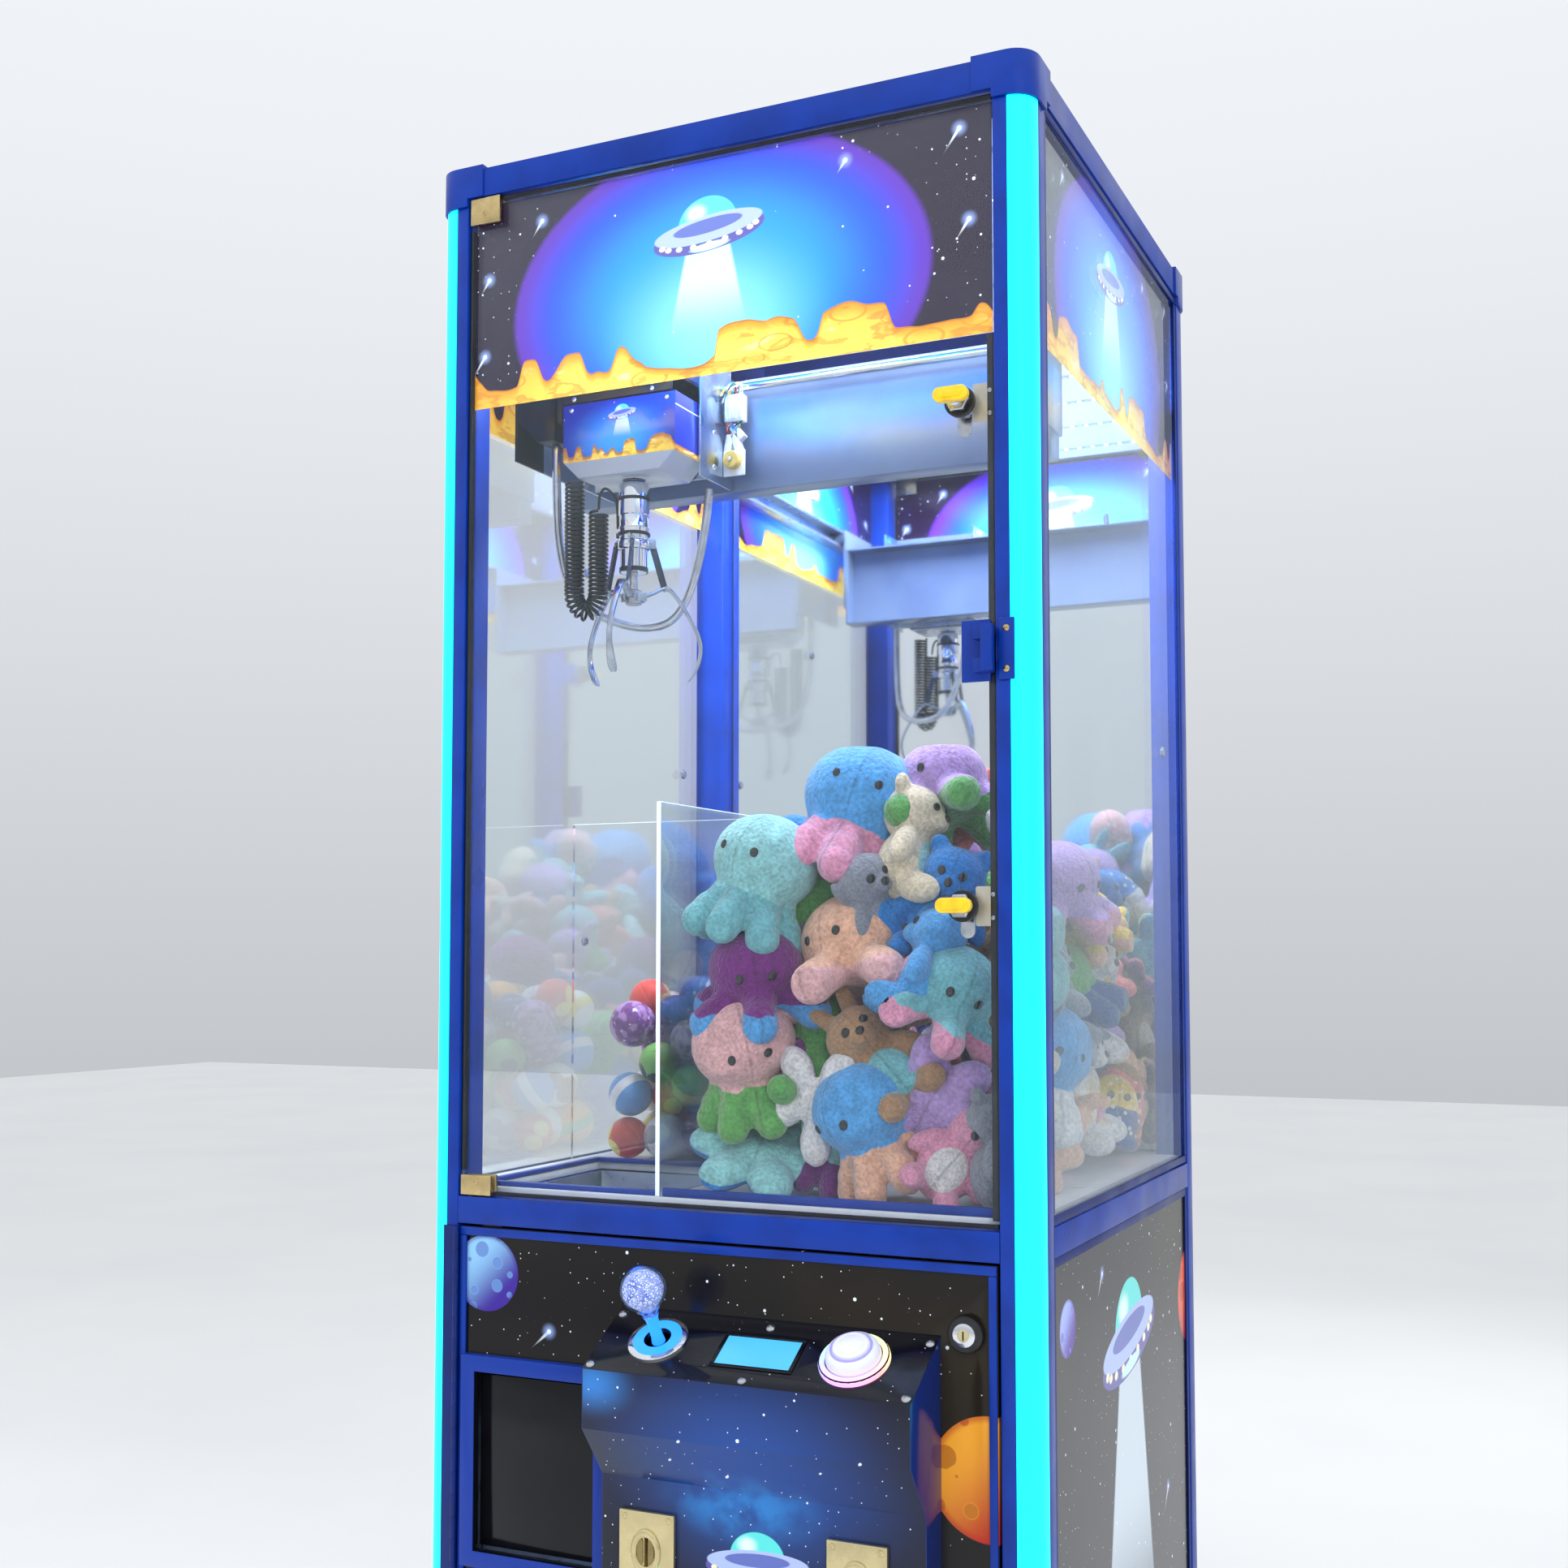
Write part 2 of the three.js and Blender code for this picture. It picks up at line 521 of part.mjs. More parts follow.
const displayPane = block(
  DISPLAY.x0 + GAP, DISPLAY.x1 - GAP, DISPLAY.y0 + GAP, DISPLAY.y1 - GAP, -CONSOLE_WALL, 0.4,
);
add('display_window', displayPane, cyan, consoleTop);

const stickCentre = new THREE.Group();
stickCentre.position.set(JOYSTICK_X, SLOPE_MIDDLE, -22);
consoleTop.add(stickCentre);
const gimbal = cut(block(-17, 17, -17, 17, -4, 4), block(-11, 11, -11, 11, -5, 5));
add('joystick_gimbal', gimbal, steel, stickCentre);
const stick = turned([
  [0, -14], [5, -14], [5, -8], [8, -5], [8, 5], [6, 8], [6, 52], [9, 56], [12, 64], [19, 72],
  [24.5, 82], [26, 91], [24.5, 100], [18, 110], [9, 115.5], [0, 117],
], 24);
add('joystick_stick', stick, white, stickCentre);

const dome = turned([
  [0, -1], [BUTTON_RADIUS, -1], [BUTTON_RADIUS, 9], [27.5, 15], [22, 20.5], [12, 24.5], [0, 26],
]);
add('button_dome', dome.translate(BUTTON_X, SLOPE_MIDDLE, 0), white, consoleTop);

function coinMech(x) {
  const plateFront = COIN_FACE_Y - GAP - 6;
  const bottom = COIN_TOP - 127;
  const body = join(
    block(x - 33, x + 33, plateFront, COIN_FACE_Y - GAP, bottom, COIN_TOP),
    block(x - 25.5, x + 25.5, COIN_FACE_Y - 1, -4, COIN_TOP - 117, COIN_TOP - 10),
  );
  const coinSlot = block(x - 2.3, x + 2.3, plateFront - 1, -12, COIN_TOP - 57, COIN_TOP - 25);
  const returnCup = block(x - 17, x + 17, plateFront - 1, COIN_FACE_Y + 24, bottom + 14, bottom + 52);
  return cut(body, coinSlot, returnCup);
}
for (const [name, x] of Object.entries(COIN_MECHS)) {
  add(name, coinMech(x), gold);
}

// ---------------------------------------------------------------- crane
const END_PLATE = 318;            // inner face of each end plate
const beam = cut(
  block(-END_PLATE, END_PLATE, BEAM.y0, BEAM.y1, BEAM.z0, BEAM.z1),
  block(4 - END_PLATE, END_PLATE - 4, BEAM.y0 + 3, BEAM.y1 + 1, BEAM.z0 + 3, BEAM.z1 - 3),
);
const carriages = [-1, 1].flatMap((side) => {
  const [x0, x1] = side < 0 ? [-END_PLATE - 4, -END_PLATE] : [END_PLATE, END_PLATE + 4];
  const wheelSpan = side < 0 ? [-346, -END_PLATE - 3] : [END_PLATE + 3, 346];
  const wheels = [115, 255].map((y) => rodX(y, WHEEL_Z, 10.4, ...wheelSpan, 16));
  return [block(x0 - 0.01, x1 + 0.01, 95, BEAM.y1, 1700, 1839), ...wheels];
});
const cableArm = prismY([[-319, 1786], [-319, 1750], [-292, 1722], [-268, 1722], [-268, 1786]], 100, 150);
add('bridge_beam', join(beam, ...carriages, cableArm), steel);
add('guide_rod', rodX(ROD.y, ROD.z, ROD.radius, GAP - END_PLATE, END_PLATE - GAP), chrome);

const SIDE_PLATES = [[COVER.x0 - 5, COVER.x0 - 2], [COVER.x1 + 2, COVER.x1 + 5]];
const trolleyPlates = SIDE_PLATES.map(([x0, x1]) => block(x0, x1, 154, 236.5, 1672, 1834));
const trolleyBack = block(COVER.x0 - 5, COVER.x1 + 5, COVER.y1 + 1.5, COVER.y1 + 4.5, 1674, 1834);
const rodRoom = rodX(ROD.y, ROD.z, ROD.radius + 0.4, COVER.x0 - 10, COVER.x1 + 10);
add('trolley_bracket', cut(join(trolleyBack, ...trolleyPlates), rodRoom), chrome);

function coverOutline(inset) {
  const bevel = 22;
  return [
    [COVER.x0 + inset, COVER.z1 - inset], [COVER.x0 + inset, COVER.z0 + bevel],
    [COVER.x0 + bevel, COVER.z0 + inset], [COVER.x1 - bevel, COVER.z0 + inset],
    [COVER.x1 - inset, COVER.z0 + bevel], [COVER.x1 - inset, COVER.z1 - inset],
  ];
}
const coverShell = cut(
  prismY(coverOutline(0), COVER.y0, COVER.y1),
  prismY(coverOutline(2), COVER.y0 + 2, COVER.y1 + 1),
  rodZ(CLAW.x, CLAW.y, 14, COVER.z0 - 1, COVER.z0 + 4),
);
add('head_cover', coverShell, art);

const claw = new THREE.Group();
claw.position.set(CLAW.x, CLAW.y, 0);
machine.add(claw);
const atMid = (points) => points.map(([radius, z]) => [radius, MID_BOTTOM + z]);
const coilBody = turned(atMid([
  [0, 774], [16.5, 774], [16.5, 803], [19.5, 803], [19.5, 813], [18, 813], [18, 844],
  [19.2, 844], [19.2, 882], [15, 886], [2, 886], [2, 940], [0, 940],
]), 24);
add('claw_solenoid', cut(coilBody, rodZ(0, 0, 5.5, MID_BOTTOM + 773, MID_BOTTOM + 816, 16)), chrome, claw);
const plunger = turned(atMid([[0, 735], [10, 735], [10, 752.5], [5, 752.5], [5, 794], [0, 794]]), 16);
add('claw_plunger', plunger, steel, claw);

// a strip of the given thickness along a centre line of (radius, z) points
function stripOutline(centre, half) {
  const ahead = [];
  const behind = [];
  centre.forEach(([u, v], i) => {
    const [ua, va] = centre[Math.max(i - 1, 0)];
    const [ub, vb] = centre[Math.min(i + 1, centre.length - 1)];
    const length = Math.hypot(ub - ua, vb - va);
    const [nu, nv] = [-(vb - va) / length, (ub - ua) / length];
    ahead.push([u + nu * half, v + nv * half]);
    behind.unshift([u - nu * half, v - nv * half]);
  });
  return [...ahead, ...behind];
}

const fingerLine = atMid([
  [11.5, 744.5], [25, 750.5], [40, 757], [52, 748], [66, 728], [78, 706], [83.5, 688], [82, 670],
  [76, 655], [68, 643],
]);
const linkLine = [[24, LINK_TOP_Z], [40, MID_BOTTOM + 757]];
FINGER_ANGLES.forEach((angle, i) => {
  const arm = new THREE.Group();
  arm.rotation.z = THREE.MathUtils.degToRad(angle);
  claw.add(arm);
  add(`claw_finger_${i + 1}`, prismY(stripOutline(fingerLine, 2), -5, 5), chrome, arm);
  add(`claw_link_${i + 1}`, prismY(stripOutline(linkLine, 4), 5.6, 8.6), steel, arm);
});

// ---------------------------------------------------------------- cables
const cordStrands = { left: [-241, 105], right: [-215, 118] };
const cordFall = [
  [...cordStrands.left, 1668], [...cordStrands.left, 1620], [...cordStrands.left, 1565],
  [...cordStrands.left, 1530], [-238, 106.5, 1515], [-228, 111.5, 1508], [-218, 116.5, 1515],
  [...cordStrands.right, 1530], [...cordStrands.right, 1565], [...cordStrands.right, 1620],
  [-212, 119.5, 1645],
];
add('coil_cord', tube(cordFall, 12.5, 60, 5), rubber);

const cableFall = [
  [-280, 125, 1721], [-280, 126, 1660], [-278, 130, 1600], [-270, 142, 1550], [-252, 165, 1521],
  [-225, 190, 1506], [-196, 208, 1502], [-168, 214, 1509], [-145, 215, 1535], [-128, 214, 1580],
  [-117, 213, 1630], [-112, 212, 1670],
];
add('trolley_cable', tube(cableFall, 5.5, 60, 5), conduit);

// ---------------------------------------------------------------- prizes
// one heap for the loose prizes: it leans on the door and the side, and goes round the chute guard
function mound(x, y, rx, ry, height) {
  const ball = new THREE.SphereGeometry(1, 24, 18).rotateX(Math.PI / 2);
  return ball.scale(rx, ry, height + 120).translate(x, y, DECK_TOP - 120);
}
const HEAP_FLOOR = DECK_TOP + GAP;
const HEAP_LIMIT = 1400;
const mounds = join(
  mound(20, 110, 210, 240, 410),
  mound(190, 240, 250, 280, 510),
  mound(170, 520, 300, 300, 400),
  mound(-170, 520, 260, 300, 270),
  mound(-230, 400, 180, 180, 320),
);
const heapRoom = join(
  block(-68, 322, 24, 700, HEAP_FLOOR, HEAP_LIMIT),
  block(300, 354, 56, 670, HEAP_FLOOR, HEAP_LIMIT),
  block(-320, -60, 306, 700, HEAP_FLOOR, HEAP_LIMIT),
);
add('prize_heap', common(mounds, heapRoom), plush);

// ---------------------------------------------------------------- origin below the middle of the box
const overall = new THREE.Box3().setFromObject(machine, true);
machine.position.y = -(overall.min.y + overall.max.y) / 2;

export default machine;
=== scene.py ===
import json
import math
import random

import bmesh
import bpy
import numpy as np
from mathutils import Euler, Matrix, Vector
from mathutils.bvhtree import BVHTree

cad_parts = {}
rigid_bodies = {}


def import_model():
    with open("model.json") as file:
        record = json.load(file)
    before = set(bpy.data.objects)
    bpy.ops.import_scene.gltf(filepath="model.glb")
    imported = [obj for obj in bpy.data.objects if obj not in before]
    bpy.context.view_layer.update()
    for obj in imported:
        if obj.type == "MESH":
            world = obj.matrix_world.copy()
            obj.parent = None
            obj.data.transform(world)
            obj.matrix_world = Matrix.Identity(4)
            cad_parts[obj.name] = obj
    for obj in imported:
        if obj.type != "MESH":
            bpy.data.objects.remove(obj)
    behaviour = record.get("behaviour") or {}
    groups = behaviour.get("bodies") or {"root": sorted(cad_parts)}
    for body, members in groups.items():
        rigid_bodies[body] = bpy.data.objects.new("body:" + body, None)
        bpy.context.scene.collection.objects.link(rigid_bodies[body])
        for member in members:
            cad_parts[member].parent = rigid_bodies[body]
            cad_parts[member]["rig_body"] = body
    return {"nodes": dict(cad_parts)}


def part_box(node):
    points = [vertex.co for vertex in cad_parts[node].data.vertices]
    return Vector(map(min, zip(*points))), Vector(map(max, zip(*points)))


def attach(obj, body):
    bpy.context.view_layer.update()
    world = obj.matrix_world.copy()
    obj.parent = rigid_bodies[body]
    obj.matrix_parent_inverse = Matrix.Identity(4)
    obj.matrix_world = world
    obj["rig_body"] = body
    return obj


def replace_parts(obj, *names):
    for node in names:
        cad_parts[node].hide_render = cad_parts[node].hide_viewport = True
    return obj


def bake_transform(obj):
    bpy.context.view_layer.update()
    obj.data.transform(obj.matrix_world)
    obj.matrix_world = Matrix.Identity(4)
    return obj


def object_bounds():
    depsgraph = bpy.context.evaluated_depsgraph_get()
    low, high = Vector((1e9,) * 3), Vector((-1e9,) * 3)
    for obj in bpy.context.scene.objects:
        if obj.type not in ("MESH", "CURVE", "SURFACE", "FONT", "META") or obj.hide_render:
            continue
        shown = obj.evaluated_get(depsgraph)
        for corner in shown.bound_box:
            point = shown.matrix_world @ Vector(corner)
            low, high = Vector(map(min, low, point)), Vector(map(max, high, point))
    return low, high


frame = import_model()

cad_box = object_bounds()

# Shapes are drawn in cabinet millimetres: x from the middle to the right, y back from the front face,
# z up from the floor. They become metres in the shared frame as each piece is made.
MM = 0.001
UP = (0, 0, 1)
BACK = (0, 1, 0)
FORWARD = (0, -1, 0)
RIGHT = (1, 0, 0)
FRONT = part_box("mid_frame")[0].y
CABINET = Matrix.Translation((0, FRONT, 0)) @ Matrix.Scale(MM, 4)


def at(x, y, z):
    """A point in cabinet millimetres, in metres in the shared frame."""
    return CABINET @ Vector((x, y, z))


# ------------------------------------------------------------------ camera
CAMERA_PLACE = (898.7, -1747.9, 1093.9)
CAMERA_YAW = 0.4339
CAMERA_PITCH = 0.0592
camera_data = bpy.data.cameras.new("camera")
camera_data.sensor_width = 36
camera_data.lens = 41.2
camera_data.shift_y = 0.04
camera = bpy.data.objects.new("camera", camera_data)
camera.location = at(*CAMERA_PLACE)
camera.rotation_euler = (math.pi / 2 + CAMERA_PITCH, 0, CAMERA_YAW)
bpy.context.scene.collection.objects.link(camera)
bpy.context.scene.camera = camera


# ------------------------------------------------------------------ paint: materials from formulas
class Field:
    """A value that varies over a surface: a shader node's output that formulas can use."""

    def __init__(self, tree, socket):
        self.tree = tree
        self.socket = socket

    def node(self, operation, *others):
        math_node = self.tree.nodes.new("ShaderNodeMath")
        math_node.operation = operation
        for socket, value in zip(math_node.inputs, (self, *others)):
            feed(socket, value)
        return Field(self.tree, math_node.outputs[0])

    def __add__(self, other):
        return self.node("ADD", other)

    def __sub__(self, other):
        return self.node("SUBTRACT", other)

    def __mul__(self, other):
        return self.node("MULTIPLY", other)

    def __truediv__(self, other):
        return self.node("DIVIDE", other)

    def absolute(self):
        return self.node("ABSOLUTE")


def feed(socket, value):
    """Gives a shader socket its value: a field, a number or a colour."""
    if isinstance(value, Field):
        value.tree.links.new(value.socket, socket)
    elif isinstance(value, (tuple, list)) and len(value) == 3 and socket.type == "RGBA":
        socket.default_value = (*value, 1)
    else:
        socket.default_value = value


def ramp(field, low, high, start=0.0, end=1.0):
    """Goes smoothly from start to end while the field goes from low to high."""
    node = field.tree.nodes.new("ShaderNodeMapRange")
    node.interpolation_type = "SMOOTHSTEP"
    for socket, value in zip(node.inputs, (field, low, high, start, end)):
        feed(socket, value)
    return Field(field.tree, node.outputs[0])


def distance(u, v, cu=0.0, cv=0.0, ru=1.0, rv=1.0):
    """How far (u, v) is from a centre, in radii of an ellipse."""
    du = (u - cu) / ru
    dv = (v - cv) / rv
    return (du * du + dv * dv).node("SQRT")


def inside(far, soft=0.01):
    """1 within a distance of 1 and 0 outside it."""
    return ramp(far, 1 + soft, 1 - soft)


def turned_axes(u, v, cu, cv, angle):
    """Coordinates along and across a line through a centre."""
    cos, sin = math.cos(angle), math.sin(angle)
    du, dv = u - cu, v - cv
    return du * cos + dv * sin, dv * cos - du * sin


OWN_PLACE = "own_place"


class Paint:
    """A material painted in layers, over x, y and z in cabinet millimetres at rest.

    A local one reads them from the mesh, where OWN_PLACE holds each point's place before it was put down.
    """

    def __init__(self, name, colour, roughness=0.4, metallic=0.0, coat=0.0, local=False, **sockets):
        self.material = bpy.data.materials.new(name)
        self.material.use_nodes = True
        self.tree = self.material.node_tree
        self.shader = self.tree.nodes["Principled BSDF"]
        self.colour = colour
        for socket, value in {
            "Roughness": roughness, "Metallic": metallic, "Coat Weight": coat, "Coat Roughness": 0.08,
            **sockets,
        }.items():
            feed(self.shader.inputs[socket], value)
        place = self.tree.nodes.new("ShaderNodeAttribute" if local else "ShaderNodeTexCoord")
        if local:
            place.attribute_name = OWN_PLACE
        split = self.tree.nodes.new("ShaderNodeSeparateXYZ")
        self.tree.links.new(place.outputs["Vector" if local else "Object"], split.inputs[0])
        x, y, z = (Field(self.tree, socket) for socket in split.outputs)
        self.x, self.y, self.z = x / MM, (y - (0 if local else FRONT)) / MM, z / MM

    def point(self, x, y, z=0.0):
        node = self.tree.nodes.new("ShaderNodeCombineXYZ")
        for socket, value in zip(node.inputs, (x, y, z)):
            feed(socket, value)
        return Field(self.tree, node.outputs[0])

    def noise(self, size, detail=2.0, stretch=(1, 1, 1)):
        """Smooth noise from 0 to 1, with lumps of about size millimetres."""
        node = self.tree.nodes.new("ShaderNodeTexNoise")
        sx, sy, sz = (size * factor for factor in stretch)
        feed(node.inputs["Vector"], self.point(self.x / sx, self.y / sy, self.z / sz))
        feed(node.inputs["Scale"], 1.0)
        feed(node.inputs["Detail"], detail)
        return Field(self.tree, node.outputs[0])

    def cells(self, u, v, size):
        """Scattered points: the distance to the nearest in cell sizes, and a random number for it."""
        node = self.tree.nodes.new("ShaderNodeTexVoronoi")
        node.voronoi_dimensions = "2D"
        feed(node.inputs["Vector"], self.point(u / size, v / size))
        feed(node.inputs["Scale"], 1.0)
        split = self.tree.nodes.new("ShaderNodeSeparateColor")
        self.tree.links.new(node.outputs["Color"], split.inputs[0])
        return Field(self.tree, node.outputs["Distance"]), Field(self.tree, split.outputs[0])

    def layer(self, colour, mask):
        """Lays a colour over what is there, as far as the mask goes."""
        node = self.tree.nodes.new("ShaderNodeMix")
        node.data_type = "RGBA"
        feed(node.inputs[0], mask)
        feed(node.inputs[6], self.colour)
        feed(node.inputs[7], colour)
        self.colour = Field(self.tree, node.outputs[2])
        return self

    def rough(self, low, high, size, stretch=(1, 1, 1)):
        """Roughness that wanders between two values, as handled and wiped surfaces have."""
        feed(self.shader.inputs["Roughness"], ramp(self.noise(size, 4.0, stretch), 0.3, 0.7, low, high))
        return self

    def bump(self, height, strength=0.3, depth=0.4):
        """Raises the surface by a field, at most depth millimetres."""
        node = self.tree.nodes.new("ShaderNodeBump")
        feed(node.inputs["Strength"], strength)
        feed(node.inputs["Distance"], depth * MM)
        feed(node.inputs["Height"], height)
        self.tree.links.new(node.outputs[0], self.shader.inputs["Normal"])
        return self

    def done(self, glow=0.0):
        """The finished material. glow is how brightly it shines in its own colours."""
        feed(self.shader.inputs["Base Color"], self.colour)
        if glow:
            feed(self.shader.inputs["Emission Color"], self.colour)
            feed(self.shader.inputs["Emission Strength"], glow)
        return self.material


STARLIGHT = (0.85, 0.92, 1.0)


def stars(paint, u, v, cell, radius, share):
    """Scattered dots of different sizes, in the given share of the cells."""
    far, pick = paint.cells(u, v, cell)
    size = ramp(pick, 1 - share, 1, 0, radius / cell)
    paint.layer(STARLIGHT, ramp(size - far, 0, 0.4 * radius / cell))


def starfield(paint, u, v):
    """Fine stars with a few large ones."""
    stars(paint, u, v, 11, 0.9, 0.35)
    stars(paint, u, v, 34, 2.4, 0.4)


def planet(paint, u, v, centre, radius, bright, shade, pit):
    """A ball lit from the upper left, with round craters."""
    cu, cv = centre
    body = inside(distance(u, v, cu, cv, radius, radius), 0.6 / radius)
    paint.layer(shade, body)
    paint.layer(bright, body * ramp((v - cv) - (u - cu), -radius * 1.1, radius * 1.1))
    far, pick = paint.cells(u, v, radius * 0.62)
    paint.layer(pit, body * ramp(pick * 0.38 - far, 0.0, 0.04) * 0.85)
    paint.layer(
        bright, body * ramp(pick * 0.38 - far, -0.05, 0.0) * ramp(far - pick * 0.38, 0.03, -0.01) * 0.35,
    )
    rim = ramp(distance(u, v, cu, cv, radius, radius), 0.86, 1.0)
    paint.layer(shade, body * rim * 0.6)


def comet(paint, u, v, head, length, angle=0.95):
    """A bright head with a tail that narrows down to nothing."""
    along, across = turned_axes(u, v, *head, angle)
    tail = ramp(along, -length, 0) * ramp(along, 1.5, 0)
    width = ramp(along, -length, 0, 0.2, 1.8)
    paint.layer(STARLIGHT, tail * ramp(across.absolute() - width, 0.4, -0.4) * 0.9)
    paint.layer((0.35, 0.5, 1.0), inside(distance(u, v, *head, 6, 6), 0.9) * 0.7)
    paint.layer(STARLIGHT, inside(distance(u, v, *head, 2.6, 2.6), 0.3))


def saucer(paint, u, v, centre, size, tilt=0.12, beam=2.2):
    """A plain flying disc with a glassy dome, round lamps and a beam of light below it."""
    across, up = turned_axes(u, v, *centre, tilt)
    across, up = across / size, up / size
    drop = (v - centre[1]) / -size
    side = ((u - centre[0]) / size).absolute()
    cone = ramp(side - drop * 0.22, 0.36, 0.30) * ramp(drop, 0.05, 0.2) * ramp(drop, beam, beam * 0.4)
    paint.layer((0.75, 0.88, 1.0), cone * 0.75)
    dome = inside(distance(across, up, 0, 0.13, 0.52, 0.44), 0.02) * ramp(up, 0.08, 0.1)
    paint.layer((0.1, 0.75, 0.72), dome)
    paint.layer((0.75, 1.0, 0.9), dome * inside(distance(across, up, -0.18, 0.34, 0.16, 0.12), 0.6))
    paint.layer((0.10, 0.09, 0.38), inside(distance(across, up, 0, -0.05, 1.0, 0.27), 0.02))
    paint.layer((0.42, 0.52, 0.85), inside(distance(across, up, 0, 0.05, 0.97, 0.21), 0.02))
    paint.layer((0.12, 0.16, 0.5), inside(distance(across, up, 0, 0.09, 0.62, 0.115), 0.04))
    for step in range(-4, 5):
        angle = step * 0.34
        lamp = distance(across, up, math.sin(angle) * 0.86, -0.05 - math.cos(angle) * 0.15, 0.055, 0.04)
        paint.layer((1.0, 0.92, 0.6), inside(lamp, 0.3))
    paint.layer((0.6, 0.95, 1.0), inside(distance(across, up, 0, -0.245, 0.34, 0.06), 0.2))


def dunes(paint, u, v, floor, height, run, edge, heart, heart_at):
    """Flat-topped hills along the bottom, glowing around heart_at."""
    node = paint.tree.nodes.new("ShaderNodeTexNoise")
    node.noise_dimensions = "1D"
    feed(node.inputs["W"], u / run)
    feed(node.inputs["Scale"], 1.0)
    feed(node.inputs["Detail"], 1.6)
    wave = Field(paint.tree, node.outputs[0])
    top = ramp(wave, 0.47, 0.54, 0.0, height * 0.9) + ramp(wave, 0.1, 0.95, 0.0, height * 1.3)
    under = (v - floor) - top
    land = ramp(under, 0.6, -0.6)
    paint.layer(edge, land)
    glow = ramp(distance(u, v, *heart_at, run * 4.2, height * 3.4), 1.0, 0.1)
    paint.layer(heart, land * glow * ramp(under, 0.0, -height * 0.6))
    paint.layer((0.45, 0.16, 0.01), land * ramp(under, -2.6, -0.8) * 0.85)
    strata = paint.noise(height * 0.8, 5.0, (2.2, 2.2, 0.8))
    paint.layer((0.42, 0.13, 0.005), land * ramp(strata, 0.52, 0.58) * ramp(strata, 0.68, 0.6) * 0.5)
    paint.layer((1.0, 0.9, 0.45), land * glow * ramp(strata, 0.4, 0.34) * 0.7)
    craters, pick = paint.cells(u, v * 2.2, run * 0.8)
    paint.layer(
        (0.6, 0.22, 0.01),
        land * ramp(pick * 0.3 - craters, -0.02, 0.02) * ramp(craters - pick * 0.26, -0.02, 0.0) * 0.6,
    )


# place, in shares of the globe's reach and of the panel's height, and length of the tail
SKY_COMETS = (
    (-0.86, 0.86, 26), (-1.14, 0.62, 22), (1.12, 0.90, 34), (1.16, 0.50, 30), (0.62, 0.86, 20),
    (-1.16, 0.25, 34),
)


def sky_scene(paint, u, v, low, centre, reach, rise):
    """The header's picture: a bright blue globe of sky, comets and a strip of yellow dunes."""
    starfield(paint, u, v)
    globe = distance(u, v, centre, low + rise * 0.38, reach, rise * 0.72)
    paint.layer((0.10, 0.02, 0.42), ramp(globe, 1.02, 0.98))
    paint.layer((0.01, 0.07, 0.75), ramp(globe, 0.99, 0.78))
    paint.layer((0.01, 0.30, 0.95), ramp(globe, 0.85, 0.42))
    paint.layer(
        (0.25, 0.75, 1.0),
        ramp(distance(u, v, centre, low + rise * 0.22, reach * 0.62, rise * 0.5), 1.0, 0.0),
    )
    stars(paint, u, v, 26, 1.6, 0.3)
    for du, dv, length in SKY_COMETS:
        comet(paint, u, v, (centre + du * reach, low + dv * rise), length)
    saucer(paint, u, v, (centre - 0.02 * reach, low + rise * 0.66), reach * 0.27, 0.1, 1.7)
    dunes(paint, u, v, low + 6, rise * 0.11, 105, (0.75, 0.30, 0.01), (1.0, 0.82, 0.12), (centre, low))


# ------------------------------------------------------------------ materials
def plain(
    name, colour, roughness, metallic=0.0, coat=0.0, grain=30, tone=0.8, spread=0.1, fine=0.0, **sockets,
):
    """A finish with a little tone and gloss variation, and a fine texture where fine is over 0."""
    paint = Paint(name, colour, roughness, metallic, coat, **sockets)
    darker = tuple(channel * tone for channel in colour)
    paint.layer(darker, ramp(paint.noise(grain, 4.0), 0.35, 0.75))
    paint.rough(max(roughness - spread, 0.02), roughness + spread, grain * 1.7)
    if fine:
        paint.bump(paint.noise(fine, 3.0), 0.25, fine * 0.25)
    return paint.done()


def glassy(name, tint, clearest, mirror, roughness=0.02):
    """Thin clear sheet: nearly open face on, and more mirror-like at a glance."""
    paint = Paint(name, tint, roughness, 1.0)
    glance = paint.tree.nodes.new("ShaderNodeFresnel")
    feed(glance.inputs["IOR"], 1.45)
    smears = ramp(paint.noise(140, 3.0), 0.4, 0.8, 0.0, 0.012)
    alpha = Field(paint.tree, glance.outputs[0]) * mirror + clearest + smears
    feed(paint.shader.inputs["Alpha"], alpha)
    feed(paint.shader.inputs["Roughness"], ramp(paint.noise(90, 2.0), 0.3, 0.8, roughness, roughness + 0.03))
    return paint.done()


def lit(name, colour, strength, roughness=0.4, base=None):
    """A finish that shines. base is its own colour, where that differs from its light."""
    paint = Paint(name, base or colour, roughness)
    feed(paint.shader.inputs["Emission Color"], colour)
    feed(paint.shader.inputs["Emission Strength"], strength)
    paint.layer(tuple(c * 0.9 for c in (base or colour)), paint.noise(12))
    feed(paint.shader.inputs["Base Color"], paint.colour)
    return paint.material


MATT = {"Specular IOR Level": 0.28}
